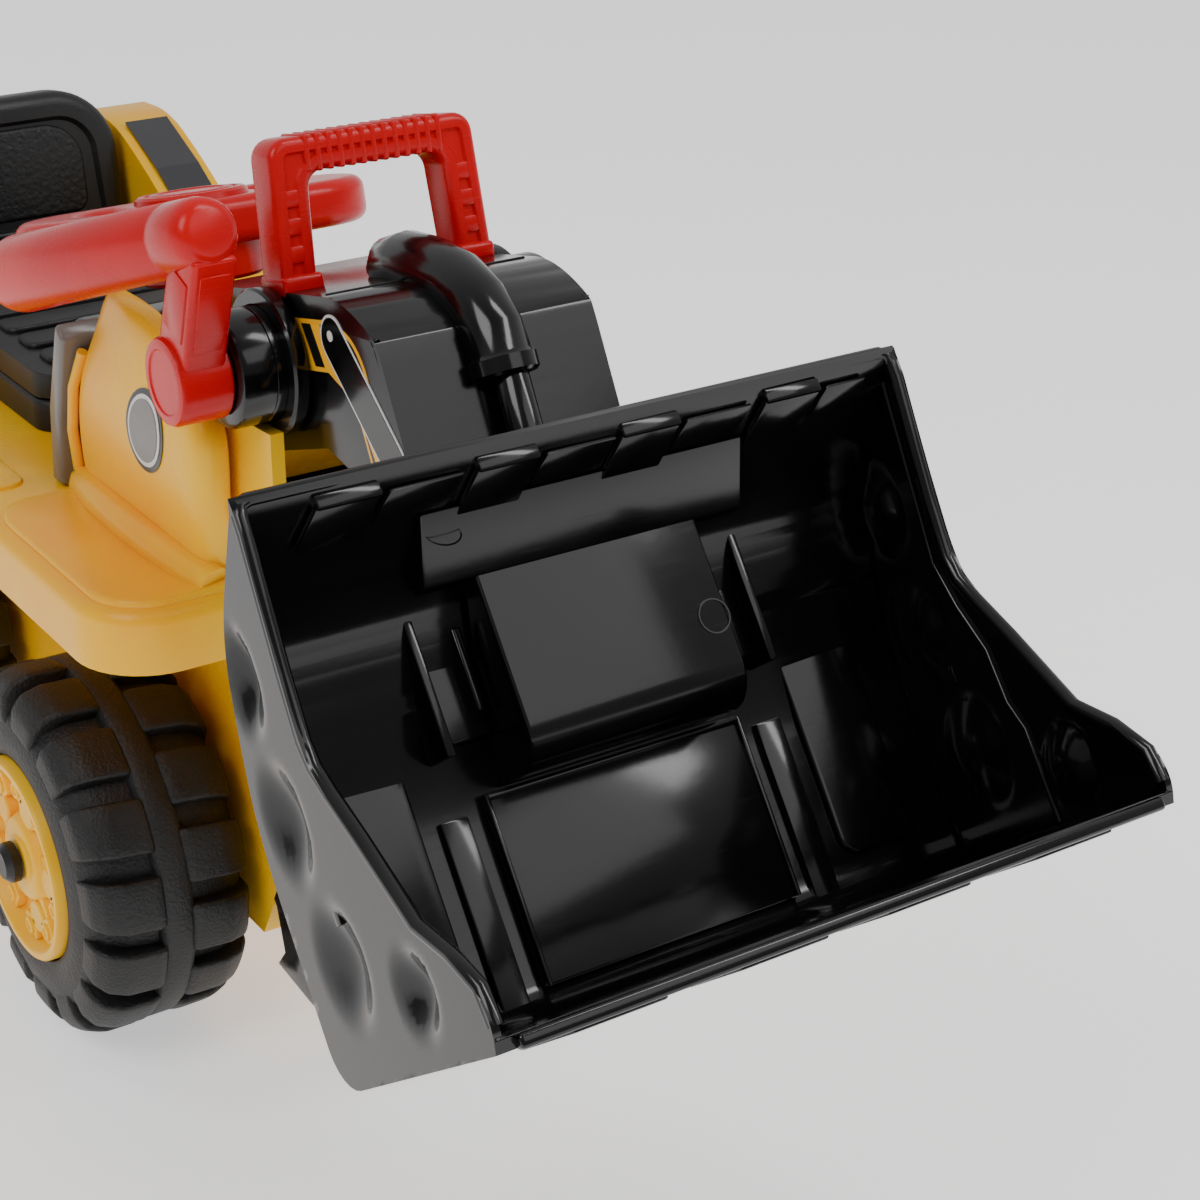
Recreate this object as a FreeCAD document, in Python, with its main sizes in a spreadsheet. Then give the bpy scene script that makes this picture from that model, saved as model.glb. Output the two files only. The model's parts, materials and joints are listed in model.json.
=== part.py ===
"""Ride-on loader for a small child: yellow body on four plastic wheels, black front boom and bucket.

Millimetres. The front of the vehicle points along -Y, +Z is up and the driver's right side is -X.
The origin is on the floor, under the middle of the vehicle.
"""
import FreeCAD, Part
import os
import re
import Sketcher

X_AXIS = FreeCAD.Vector(1, 0, 0)
Y_AXIS = FreeCAD.Vector(0, 1, 0)
Z_AXIS = FreeCAD.Vector(0, 0, 1)
PLANES = {"X": "YZ_Plane", "Y": "XZ_Plane", "Z": "XY_Plane"}
SHEET_FUNCTIONS = ("sin", "cos", "tan", "sqrt")
ALIGNED = 0.999999

SIZES = {
    # wheels and axles
    "tyre_diameter": 185, "tyre_width": 83, "tyre_gap": 94, "tyre_shoulder": 14,
    "front_axle_y": 36, "wheelbase": 289, "axle_diameter": 10, "running_gap": 0.05,
    "hub_diameter": 101, "hub_depth": 70, "hub_proud": 3, "hub_web": 4, "hub_boss_diameter": 30,
    "washer_thick": 1.5, "washer_diameter": 24, "cap_diameter": 20, "cap_length": 7, "seat_gap": 0.1,
    # lower chassis and body
    "wall": 3, "belly_z": 62, "tub_width": 84, "tub_front_y": -62, "tub_rear_y": 418,
    "deck_z": 270, "skirt_z": 241, "body_width": 264, "body_front_y": -102, "body_rear_y": 428,
    "body_corner": 34, "boom_bay_width": 128, "boom_bay_rear_y": -4, "fit_gap": 0.4,
    # cowls beside the boom
    "cowl_inner_x": 65, "cowl_top_x": 72, "cowl_base_x": 100, "cowl_top_z": 374, "cowl_front_z": 343,
    "cowl_front_y": -97, "cowl_rear_y": 46, "cowl_crest_y": 2, "trim_depth": 13, "trim_top_z": 346,
    "dash_front_y": 0, "dash_rear_y": 102, "dash_top_z": 344, "dash_width": 124,
    # boom pivot and boom
    "pivot_y": -107, "pivot_z": 370, "barrel_diameter": 48, "barrel_length": 28, "ring_diameter": 61,
    "ring_width": 7, "cradle_width": 6, "cradle_top_z": 352, "boom_width": 97, "boom_wall": 2.5,
    "boom_rear_y": -36, "boom_rear_z": 383, "boom_crown_y": -156, "boom_crown_z": 409,
    "shoulder_y": -190, "shoulder_z": 402, "slope_y": -210, "slope_z": 362, "leg_end_z": 322,
    "leg_depth": 50, "arch_y": -172, "arch_z": 339, "belly_rear_y": -61, "belly_rear_z": 314,
    "nose_width": 76, "nose_cheek": 12, "nose_radius": 15,
    # lever, crank and link
    "lever_hub_diameter": 36.6, "lever_hub_length": 23, "lever_arm_width": 19, "lever_arm_length": 60,
    "lever_arm_depth": 25, "lever_lean": 20, "grip_front_radius": 14, "grip_rear_radius": 17,
    "grip_length": 176, "grip_droop": 19, "grip_splay": 6, "lever_shaft_diameter": 9,
    "crank_length": 18, "crank_angle": 75, "crank_thick": 6, "link_thick": 5, "link_eye_radius": 5.5,
    "link_pin_diameter": 4, "link_bar_depth": 6,
    # bucket
    "bucket_width": 290, "bucket_wall": 3, "bucket_pivot_y": -277, "bucket_pivot_z": 275, "curl": 36.5,
    "bucket_top": 98.5, "bucket_rim_reach": 50.5, "bucket_back": 20, "bucket_floor": 106,
    "bucket_reach": 116, "bucket_heel_radius": 18, "bucket_waist_reach": 41, "bucket_waist": 8,
    "bucket_knee_reach": 82, "bucket_knee": 62, "bucket_pin_diameter": 8,
    "housing_front": 20.5, "housing_width": 98, "housing_head_width": 142, "housing_head": 27,
    "housing_top": 82, "housing_wall": 2.5, "plate_width": 107, "plate_thick": 2,
    # carry handle and dummy cylinder
    "handle_y": -104, "handle_width": 98, "handle_height": 56, "handle_bar": 15, "handle_post": 18,
    "handle_depth": 20, "handle_lean": 12,
    "sleeve_diameter": 25, "rod_diameter": 14, "heel_y": -122, "heel_z": 405, "sleeve_end_y": -190,
    "sleeve_end_z": 402, "sleeve_crown_z": 410, "sleeve_crown_y": -160, "rod_length": 76,
    # steering
    "column_y": 78, "column_z": 386, "column_tilt": 13, "wheel_span": 170, "wheel_depth": 74,
    "wheel_thick": 22, "wheel_hub_diameter": 62, "wheel_hub_drop": 26, "shaft_diameter": 12,
    "shaft_length": 96, "button_diameter": 42, "button_height": 8, "button_travel": 3,
    "grip_hole_span": 26, "grip_hole_depth": 30, "grip_hole_offset": 41,
    # seat
    "seat_front_y": 113, "seat_rear_y": 331, "seat_width": 138, "seat_base_height": 16,
    "lid_thick": 13, "lid_rib": 3, "lid_gap": 0.6, "hinge_diameter": 5,
    "bin_width": 72, "bin_length": 190, "bin_depth": 118, "back_width": 160, "back_thick": 26,
         "back_height": 102, "back_lean": 8,
    "back_corner": 34,
    # rear cover
    "rear_width": 244, "rear_top_z": 350, "rear_front_y": 236, "rear_mid_y": 328, "rear_mid_z": 329,
    "rear_crest_y": 374, "rear_bay_width": 170, "rear_bay_y": 385, "panel_thick": 1.2, "panel_width": 26,
    "grille_width": 140, "grille_height": 46, "grille_thick": 2, "grille_bar": 4, "lamp_diameter": 22,
    # front panel and skid
    "panel_front_y": -60, "skid_front_y": -124, "skid_width": 92, "screw_diameter": 7,
}

doc = FreeCAD.newDocument("RideOnLoader")
sheet = doc.addObject("Spreadsheet::Sheet", "Sizes")
for row, (alias, number) in enumerate(SIZES.items(), start=1):
    sheet.set(f"A{row}", alias)
    sheet.set(f"B{row}", str(number))
    sheet.setAlias(f"B{row}", alias)
doc.recompute()

nodes = []


def in_sheet(text):
    """The same formula, with each name read from the spreadsheet."""

    def replaced(match):
        word = match.group(0)
        return word if word in SHEET_FUNCTIONS else "Sizes." + word

    return re.sub(r"[a-z]\w*", replaced, text)


def number(text):
    return float(sheet.evalExpression(in_sheet(text)))


def bind(thing, prop, text):
    thing.setExpression(prop, in_sheet(text))


def set_place(thing, x="0", y="0", z="0", turn="0", axis=X_AXIS):
    """Puts an object at x, y, z and turns it about the given axis."""
    thing.Placement = FreeCAD.Placement(FreeCAD.Vector(), FreeCAD.Rotation(axis, 1.0))
    for letter, text in zip("xyz", (x, y, z)):
        bind(thing, "Placement.Base." + letter, text)
    bind(thing, "Placement.Rotation.Angle", turn)


def make_node(thing, label):
    thing.Label = label
    nodes.append(thing)
    return thing


def new_body(label, x="0", y="0", z="0", turn="0", node=True):
    body = doc.addObject("PartDesign::Body", label)
    set_place(body, x, y, z, turn)
    return make_node(body, label) if node else body


def sketch(body, axis, outline, level):
    """A closed outline on the plane across an axis. Points are formulas; a triple is a circle."""
    drawing = body.newObject("Sketcher::SketchObject", "Outline")
    plane = [item for item in body.Origin.OriginFeatures if item.Role == PLANES[axis]][0]
    drawing.AttachmentSupport = [(plane, "")]
    drawing.MapMode = "FlatFace"
    bind(drawing, "AttachmentOffset.Base.z", f"-({level})" if axis == "Y" else level)
    places, formulas = [], []
    if len(outline) == 1:
        u, v, radius = outline[0]
        centre = FreeCAD.Vector(number(u), number(v), 0)
        drawing.addGeometry(Part.Circle(centre, Z_AXIS, number(radius)))
        places += [Sketcher.Constraint("Radius", 0, number(radius)),
                   Sketcher.Constraint("DistanceX", -1, 1, 0, 3, number(u)),
                   Sketcher.Constraint("DistanceY", -1, 1, 0, 3, number(v))]
        formulas += [(0, radius), (1, u), (2, v)]
    else:
        points = [FreeCAD.Vector(number(u), number(v), 0) for u, v in outline]
        count = len(points)
        drawing.addGeometry([Part.LineSegment(points[i], points[(i + 1) % count]) for i in range(count)])
        places += [Sketcher.Constraint("Coincident", i, 2, (i + 1) % count, 1) for i in range(count)]
        for i, (u, v) in enumerate(outline):
            formulas += [(len(places), u), (len(places) + 1, v)]
            places += [Sketcher.Constraint("DistanceX", -1, 1, i, 1, points[i].x),
                       Sketcher.Constraint("DistanceY", -1, 1, i, 1, points[i].y)]
    drawing.addConstraint(places)
    for index, text in formulas:
        bind(drawing, f"Constraints[{index}]", text)
    return drawing


def add(body, axis, outline, start, end):
    """Material from start to end along the axis."""
    feature = body.newObject("PartDesign::Pad", "Pad")
    feature.Profile = sketch(body, axis, outline, end if axis == "Y" else start)
    bind(feature, "Length", f"{end} - ({start})")
    doc.recompute()
    return feature


def cut(body, axis, outline, start, end):
    """Takes material away from start to end along the axis."""
    before = body.Shape.Volume
    feature = body.newObject("PartDesign::Pocket", "Pocket")
    feature.Profile = sketch(body, axis, outline, start if axis == "Y" else end)
    bind(feature, "Length", f"{end} - ({start})")
    doc.recompute()
    if not feature.Shape.Volume < before - 0.01:
        raise ValueError(f"a cut in {body.Label} takes nothing away")
    return feature


def spin(body, outline):
    """A turned shape about the body's own X axis: points are along X and out from it."""
    feature = body.newObject("PartDesign::Revolution", "Turned")
    drawing = sketch(body, "Z", outline, "0")
    feature.Profile = drawing
    feature.ReferenceAxis = (drawing, ["H_Axis"])
    feature.Angle = 360
    doc.recompute()
    return feature


def round_edges(body, axis, radius, wanted=lambda point: True):
    """Rounds the edges that run along an axis and whose middle, in the body's own frame, is wanted."""
    tip = body.Tip
    along = {"X": X_AXIS, "Y": Y_AXIS, "Z": Z_AXIS}[axis]
    names = []
    for index, edge in enumerate(tip.Shape.Edges, start=1):
        if edge.Curve.TypeId != "Part::GeomLine":
            continue
        runs_along = abs(edge.tangentAt(edge.FirstParameter).dot(along)) > ALIGNED
        if runs_along and wanted(edge.CenterOfMass):
            names.append(f"Edge{index}")
    if not names:
        raise ValueError(f"no edge to round in {body.Label}")
    feature = body.newObject("PartDesign::Fillet", "Round")
    feature.Base = (tip, names)
    bind(feature, "Radius", radius)
    doc.recompute()
    return feature


def rod(label, radius, start, length, y, z, node=True):
    """A round bar along X from start."""
    bar = doc.addObject("Part::Cylinder", label)
    bind(bar, "Radius", radius)
    bind(bar, "Height", length)
    bar.Placement = FreeCAD.Placement(FreeCAD.Vector(), FreeCAD.Rotation(Y_AXIS, 90))
    for letter, text in zip("xyz", (start, y, z)):
        bind(bar, "Placement.Base." + letter, text)
    return make_node(bar, label) if node else bar


def group(label, pieces):
    """Separate solids that share one node."""
    bundle = doc.addObject("Part::Compound", label)
    bundle.Links = pieces
    return make_node(bundle, label)


def box_outline(u_low, u_high, v_low, v_high):
    return [(u_low, v_low), (u_high, v_low), (u_high, v_high), (u_low, v_high)]


# ---------------------------------------------------------------- wheels and axles
AXLES = {"front": "front_axle_y", "rear": "front_axle_y + wheelbase"}
SIDES = {"right": -1, "left": 1}
AXLE_Z = "tyre_diameter / 2"
HUB_FACE = "tyre_gap / 2 + tyre_width + hub_proud"
HUB_BACK = "tyre_gap / 2 + tyre_width - hub_depth"


def make_wheel(end, side):
    """Hollow blow-moulded tyre with a moulded hub disc let into its outer side."""
    sign = SIDES[side]

    def out(text):
        return f"({text}) * ({sign})"

    inner, outer = "tyre_gap / 2", "tyre_gap / 2 + tyre_width"
    tyre = new_body(f"tyre_{end}_{side}", y=AXLES[end], z=AXLE_Z)
    bore = "hub_diameter / 2 + seat_gap"
    crown = "tyre_diameter / 2"
    spin(tyre, [
        (out(inner), "axle_diameter / 2 + running_gap"), (out(inner), f"{crown} - tyre_shoulder * 1.6"),
        (out(f"{inner} + tyre_shoulder * 0.35"), f"{crown} - tyre_shoulder * 0.5"),
        (out(f"{inner} + tyre_shoulder"), crown), (out(f"{outer} - tyre_shoulder"), crown),
        (out(f"{outer} - tyre_shoulder * 0.35"), f"{crown} - tyre_shoulder * 0.5"),
        (out(outer), f"{crown} - tyre_shoulder * 1.6"), (out(outer), bore),
        (out(f"{HUB_BACK} - seat_gap"), bore),
                (out(f"{HUB_BACK} - seat_gap"), "axle_diameter / 2 + running_gap")])
    hub = new_body(f"hub_{end}_{side}", y=AXLES[end], z=AXLE_Z)
    boss, face = "hub_boss_diameter / 2", f"{HUB_FACE} - hub_web - 6"
    spin(hub, [
        (out(HUB_BACK), "axle_diameter / 2 + running_gap"), (out(HUB_BACK), "hub_diameter / 2"),
        (out(HUB_FACE), "hub_diameter / 2"), (out(HUB_FACE), "hub_diameter / 2 - hub_web"),
        (out(face), "hub_diameter / 2 - hub_web - 3"), (out(face), f"{boss} + 2"),
        (out(HUB_FACE), boss), (out(HUB_FACE), "axle_diameter / 2 + running_gap")])


def make_axle(end):
    """Steel axle with a washer inside each wheel and a pressed cap on each end."""
    half = f"{HUB_FACE} + washer_thick + cap_length / 2"
    rod(f"axle_{end}", "axle_diameter / 2", f"-({half})", f"2 * ({half})", AXLES[end], AXLE_Z)
    washers, caps = [], []
    for side, sign in SIDES.items():
        low = f"({HUB_FACE}) * ({sign}) + seat_gap * ({sign})"
        cap = doc.addObject("PartDesign::Body", f"cap_{end}_{side}")
        set_place(cap, y=AXLES[end], z=AXLE_Z)
        near, far = low, f"{low} + cap_length * ({sign})"
        axle_end_x = f"({half}) * ({sign})"
        spin(cap, [(near, "axle_diameter / 2"), (near, "cap_diameter / 2"),
                   (f"{far} - 3 * ({sign})", "cap_diameter / 2"), (far, "cap_diameter / 2 - 3"),
                   (far, "0"),
                   (axle_end_x, "0"), (axle_end_x, "axle_diameter / 2")])
        caps.append(cap)
        washer = doc.addObject("PartDesign::Body", f"washer_{end}_{side}")
        set_place(washer, y=AXLES[end], z=AXLE_Z)
        start = f"(tub_width / 2 + seat_gap) * ({sign})"
        spin(washer, [(start, "axle_diameter / 2"), (start, "washer_diameter / 2"),
                      (f"{start} + washer_thick * ({sign})", "washer_diameter / 2"),
                      (f"{start} + washer_thick * ({sign})", "axle_diameter / 2")])
        washers.append(washer)
    group(f"axle_caps_{end}", caps)
    group(f"axle_washers_{end}", washers)


for axle_end in AXLES:
    make_axle(axle_end)
    for wheel_side in SIDES:
        make_wheel(axle_end, wheel_side)

# ---------------------------------------------------------------- lower chassis
TUB_TOP = "deck_z - wall"
tub = new_body("lower_chassis")
add(tub, "X", [("tub_front_y - 16", "skirt_z"), ("tub_front_y - 16", "belly_z + 60"),
               ("tub_front_y", "belly_z + 34"),
               ("tub_front_y + 20", "belly_z"), ("tub_rear_y - 26", "belly_z"),
               ("tub_rear_y", "belly_z + 40"),
               ("tub_rear_y", TUB_TOP), ("boom_bay_rear_y", TUB_TOP), ("boom_bay_rear_y", "skirt_z")],
    "-tub_width / 2", "tub_width / 2")
cut(tub, "X", [("tub_front_y - 16 + wall", "skirt_z - wall"), ("tub_front_y - 16 + wall", "belly_z + 60"),
               ("tub_front_y + wall", "belly_z + 34 + wall"),
               ("tub_front_y + 20 + wall", "belly_z + wall"),
               ("tub_rear_y - 26 - wall", "belly_z + wall"), ("tub_rear_y - wall", "belly_z + 40 + wall"),
               ("tub_rear_y - wall", TUB_TOP + " + 1"), ("boom_bay_rear_y + wall", TUB_TOP + " + 1"),
               ("boom_bay_rear_y + wall", "skirt_z - wall")],
    "-tub_width / 2 + wall", "tub_width / 2 - wall")
for axle_y in AXLES.values():
    add(tub, "X", [(axle_y, AXLE_Z, "washer_diameter / 2")], "-tub_width / 2", "tub_width / 2")
    cut(tub, "X", [(axle_y, AXLE_Z, "axle_diameter / 2 + running_gap")], "-tub_width / 2 - 1",
        "tub_width / 2 + 1")

skid = new_body("front_skid")
add(skid, "X", [("tub_front_y - 4", "belly_z + 28"), ("tub_front_y - 10", "belly_z + 6"),
                ("tub_front_y - 2", "belly_z - 4"), ("skid_front_y + 14", "belly_z - 10"),
                ("skid_front_y", "belly_z"), ("skid_front_y + 10", "belly_z + 24"),
                ("tub_front_y - 16 - 4", "belly_z + 58"), ("tub_front_y - 16 - fit_gap", "belly_z + 58"),
                ("tub_front_y - 16 - fit_gap", "belly_z + 56"),
                ("tub_front_y - fit_gap - 1", "belly_z + 31")],
    "-skid_width / 2", "skid_width / 2")

# ---------------------------------------------------------------- upper body
upper = new_body("upper_body")
add(upper, "Z", box_outline("-body_width / 2", "body_width / 2", "body_front_y", "body_rear_y"),
    "skirt_z", "deck_z")
round_edges(upper, "Z", "body_corner")
round_edges(upper, "Y", "10", lambda point: point.z > number("deck_z - 1"))
cut(upper, "Z", box_outline("-body_width / 2 + wall", "body_width / 2 - wall", "body_front_y + wall",
                            "body_rear_y - wall"), "skirt_z - 1", "deck_z - wall")
cut(upper, "Z", box_outline("-boom_bay_width / 2", "boom_bay_width / 2", "body_front_y - 1",
                            "boom_bay_rear_y"),
    "skirt_z - 1", "deck_z + 1")
cut(upper, "Z", box_outline("-bin_width / 2 - fit_gap", "bin_width / 2 + fit_gap",
                            "seat_front_y + 14 - fit_gap", "seat_front_y + 14 + bin_length + fit_gap"),
    "skirt_z - 1", "deck_z + 1")
add(upper, "Z", box_outline("-boom_bay_width / 2 - wall", "-boom_bay_width / 2", "body_front_y",
                            "boom_bay_rear_y"),
    "skirt_z", "deck_z")
add(upper, "Z", box_outline("boom_bay_width / 2", "boom_bay_width / 2 + wall", "body_front_y",
                            "boom_bay_rear_y"),
    "skirt_z", "deck_z")

panel = new_body("front_panel")
add(panel, "X", [("panel_front_y - 14", "deck_z + 20"), ("panel_front_y - 20", "deck_z - 20"),
                 ("panel_front_y - 19", "skirt_z + fit_gap"),
                 ("boom_bay_rear_y - fit_gap", "skirt_z + fit_gap"),
                 ("boom_bay_rear_y - fit_gap", "deck_z + 6"), ("panel_front_y + 6", "deck_z + 24")],
    "-boom_bay_width / 2 + fit_gap", "boom_bay_width / 2 - fit_gap")
cut(panel, "X", [("panel_front_y - 8", "deck_z + 12"), ("panel_front_y - 13", "skirt_z - 1"),
                 ("boom_bay_rear_y - fit_gap - wall", "skirt_z - 1"),
                 ("boom_bay_rear_y - fit_gap - wall", "deck_z"),
                 ("panel_front_y + 4", "deck_z + 18")],
    "-boom_bay_width / 2 + fit_gap + wall", "boom_bay_width / 2 - fit_gap - wall")

# ---------------------------------------------------------------- cradle that carries the boom
RING_IN = "boom_width / 2 + 1.5"
CRADLE_IN = f"{RING_IN} + ring_width + fit_gap"
CRADLE_FOOT_Z = "deck_z + 24 + fit_gap"
BARREL_HOLE = "barrel_diameter / 2 + running_gap"
cradle = new_body("boom_cradle")
for low, high in ((f"-({CRADLE_IN} + cradle_width)", f"-({CRADLE_IN})"),
                  (CRADLE_IN, f"{CRADLE_IN} + cradle_width")):
    add(cradle, "X", [("pivot_y - 18", CRADLE_FOOT_Z), ("panel_front_y + 8", CRADLE_FOOT_Z),
                      ("panel_front_y + 8", "pivot_z"),
                      ("pivot_y + barrel_diameter / 2 + 4", "pivot_z + 8"),
                      ("pivot_y", "pivot_z + 8"), ("pivot_y", "pivot_z - barrel_diameter / 2 - 1"),
                      ("pivot_y - 18", "cradle_top_z - 6")], low, high)
add(cradle, "X", [("panel_front_y + 7", CRADLE_FOOT_Z), ("panel_front_y + 50", CRADLE_FOOT_Z),
                  ("panel_front_y + 50", CRADLE_FOOT_Z + " + wall"),
                  ("panel_front_y + 7", CRADLE_FOOT_Z + " + wall")],
    f"-({CRADLE_IN} + cradle_width)", f"{CRADLE_IN} + cradle_width")
cut(cradle, "X", [("pivot_y", "pivot_z", BARREL_HOLE)], f"-({CRADLE_IN} + cradle_width + 1)",
    f"{CRADLE_IN} + cradle_width + 1")


def make_ring(side):
    """Black strap ring round each pivot barrel, screwed to the cradle."""
    sign = SIDES[side]
    ring = new_body(f"pivot_ring_{side}", y="pivot_y", z="pivot_z")
    near, far = f"({RING_IN}) * ({sign})", f"({RING_IN} + ring_width) * ({sign})"
    spin(ring, [(near, BARREL_HOLE), (near, "ring_diameter / 2"), (far, "ring_diameter / 2"),
                (far, BARREL_HOLE)])


def make_barrel(side):
    """Hollow pivot journal that carries the boom; the lever shaft runs through the right one."""
    sign = SIDES[side]
    barrel = new_body(f"pivot_barrel_{side}", y="pivot_y", z="pivot_z")
    near, far = f"(boom_width / 2 + 0.1) * ({sign})", f"(boom_width / 2 + barrel_length) * ({sign})"
    bore = "lever_shaft_diameter / 2 + running_gap"
    spin(barrel, [(near, bore), (near, "barrel_diameter / 2"), (far, "barrel_diameter / 2"), (far, bore)])


for pivot_side in SIDES:
    make_ring(pivot_side)
    make_barrel(pivot_side)

# ---------------------------------------------------------------- cowls, grey trims and dash
COWL_SIDE = [("cowl_front_y", "deck_z + fit_gap"), ("cowl_rear_y", "deck_z + fit_gap"),
             ("cowl_rear_y - 3", "deck_z + 34"),
             ("cowl_rear_y - 16", "trim_top_z"), ("cowl_crest_y + 14", "cowl_top_z - 6"),
             ("cowl_crest_y", "cowl_top_z"),
             ("cowl_crest_y - 30", "cowl_top_z - 3"), ("cowl_front_y + 30", "cowl_front_z + 13"),
             ("cowl_front_y + 4", "cowl_front_z")]


def make_cowl(side):
    """Tall cheek beside the boom, leaning in towards its top, with a hollow back."""
    sign = SIDES[side]
    cowl = new_body(f"cowl_{side}")

    def across(inner, outer):
        return (inner, outer) if sign > 0 else (f"-({outer})", f"-({inner})")

    add(cowl, "X", COWL_SIDE, *across("cowl_inner_x", "cowl_base_x"))
    lean = [(f"({sign}) * (cowl_base_x + 1)", "cowl_top_z + 2"),
            (f"({sign}) * cowl_top_x", "cowl_top_z + 2"),
            (f"({sign}) * (cowl_top_x + 10)", "cowl_top_z - 40"),
            (f"({sign}) * cowl_base_x", "deck_z + 14"),
            (f"({sign}) * (cowl_base_x + 1)", "deck_z + 14")]
    cut(cowl, "Y", lean, "cowl_front_y - 1", "cowl_rear_y + 1")
    cut(cowl, "Z", box_outline(*across("cowl_inner_x - 1", "cowl_top_x + 2"), "cowl_front_y + 8",
                               "cowl_rear_y - 8"),
        "deck_z", "cowl_front_z - 9")
    trim = new_body(f"trim_{side}")
    add(trim, "X", [("cowl_rear_y + fit_gap", "deck_z + fit_gap"),
                    ("cowl_rear_y + trim_depth", "deck_z + fit_gap"),
                    ("cowl_rear_y + trim_depth - 4", "deck_z + 38"),
                    ("cowl_rear_y - 8", "trim_top_z + 8"),
                    ("cowl_rear_y - 16 + fit_gap", "trim_top_z"),
                    ("cowl_rear_y - 3 + fit_gap", "deck_z + 34")],
        *across("cowl_inner_x", "cowl_inner_x + 23"))


for cowl_side in SIDES:
    make_cowl(cowl_side)

dash = new_body("dash_blank", node=False)
add(dash, "X", [("dash_front_y", "deck_z + fit_gap"), ("dash_rear_y", "deck_z + fit_gap"),
                ("dash_rear_y - 6", "dash_top_z - 18"), ("dash_rear_y - 18", "dash_top_z - 6"),
                ("dash_front_y + 12", "dash_top_z"), ("dash_front_y", "dash_top_z - 10")],
    "-dash_width / 2", "dash_width / 2")
cut(dash, "X", [("dash_front_y + wall", "deck_z"), ("dash_rear_y - wall", "deck_z"),
                ("dash_rear_y - 6 - wall", "dash_top_z - 18 - wall"),
                ("dash_rear_y - 18 - wall", "dash_top_z - 6 - wall"),
                ("dash_front_y + 12 + wall", "dash_top_z - wall"),
                ("dash_front_y + wall", "dash_top_z - 10 - wall")],
    "-dash_width / 2 + wall", "dash_width / 2 - wall")

# the steering shaft leans back, so its bush and holes are made in the leaning frame and then cut
COLUMN = {"y": "column_y", "z": "column_z", "turn": "-column_tilt"}
BUSH_HIGH = "-wheel_thick - wheel_hub_drop + 9.5"
BUSH_LOW = "-wheel_thick - wheel_hub_drop - 10"
column_hole = doc.addObject("Part::Cylinder", "ColumnHole")
bind(column_hole, "Radius", "shaft_diameter / 2 + 3 + fit_gap")
bind(column_hole, "Height", "shaft_length + 20")
set_place(column_hole, y="column_y - (shaft_length + 10) * sin(column_tilt)",
          z="column_z - (shaft_length + 10) * cos(column_tilt)", turn="-column_tilt")
dash_cut = doc.addObject("Part::Cut", "DashCut")
dash_cut.Base, dash_cut.Tool = dash, column_hole
make_node(dash_cut, "dash_panel")
bush = new_body("column_bush", **COLUMN)
add(bush, "Z", [("0", "0", "shaft_diameter / 2 + 3")], BUSH_LOW, BUSH_HIGH)
cut(bush, "Z", [("0", "0", "shaft_diameter / 2 + running_gap")], BUSH_LOW + " - 1", BUSH_HIGH + " + 1")

# ---------------------------------------------------------------- boom
HALF_BOOM = "boom_width / 2"
SLOPE_RUN = "(slope_z - leg_end_z) * 0.55"


def boom_outline(inset):
    """Side view of the boom; the inset makes the inside."""
    return [("boom_rear_y - {0}", "boom_rear_z - {0} * 1.2"), ("boom_crown_y", "boom_crown_z - {0}"),
            ("shoulder_y + 12 + {0}", "shoulder_z + 4 - {0}"),
            ("shoulder_y + {0}", "shoulder_z - 2 - {0}"),
            ("slope_y + {0} * 1.2", "slope_z"),
            (f"slope_y - {SLOPE_RUN} + {{0}} * 1.2", "leg_end_z - 2 * {0}"),
            (f"slope_y - {SLOPE_RUN} + leg_depth - {{0}} * 1.2", "leg_end_z - 2 * {0}"),
            ("arch_y - {0} * 0.9", "arch_z + {0}"), ("arch_y + 26", "arch_z + 5 + {0}"),
            ("belly_rear_y", "belly_rear_z + {0} * 1.1"),
            ("boom_rear_y - {0}", "belly_rear_z + 16 + {0}")]


def formed(points, inset):
    return [(u.format(inset), v.format(inset)) for u, v in points]


NOSE_RISE = "(leg_end_z + 8 - bucket_pivot_z)"
NOSE_RUN = f"(slope_y - {SLOPE_RUN} + leg_depth / 2 - bucket_pivot_y)"
NOSE_SPAN = f"sqrt({NOSE_RISE} * {NOSE_RISE} + {NOSE_RUN} * {NOSE_RUN})"
nose_offset_y = f"nose_radius * {NOSE_RISE} / {NOSE_SPAN}"
nose_offset_z = f"nose_radius * {NOSE_RUN} / {NOSE_SPAN}"
NOSE = [(f"bucket_pivot_y - {nose_offset_y}", f"bucket_pivot_z + {nose_offset_z}"),
        (f"bucket_pivot_y + {nose_offset_y}", f"bucket_pivot_z - {nose_offset_z}"),
        (f"bucket_pivot_y + {NOSE_RUN} + {nose_offset_y}",
         f"bucket_pivot_z + {NOSE_RISE} - {nose_offset_z}"),
        (f"bucket_pivot_y + {NOSE_RUN} - {nose_offset_y}",
         f"bucket_pivot_z + {NOSE_RISE} + {nose_offset_z}")]
boom = new_body("boom_shell")
add(boom, "X", formed(boom_outline("{0}"), "0"), f"-{HALF_BOOM}", HALF_BOOM)
for low, high in (("-nose_width / 2", "-nose_width / 2 + nose_cheek"),
                  ("nose_width / 2 - nose_cheek", "nose_width / 2")):
    add(boom, "X", NOSE, low, high)
    add(boom, "X", [("bucket_pivot_y", "bucket_pivot_z", "nose_radius")], low, high)
round_edges(boom, "X", "9",
            lambda point: point.z > number("shoulder_z - 6") and point.y < number("boom_crown_y - 5"))
cut(boom, "X", formed(boom_outline("{0}"), "boom_wall"), f"-{HALF_BOOM} + boom_wall",
    f"{HALF_BOOM} - boom_wall")
cut(boom, "X", box_outline("belly_rear_y - 66", "belly_rear_y - 2", "belly_rear_z - 1", "arch_z + 8"),
    f"-{HALF_BOOM} + boom_wall", f"{HALF_BOOM} - boom_wall")
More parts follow.
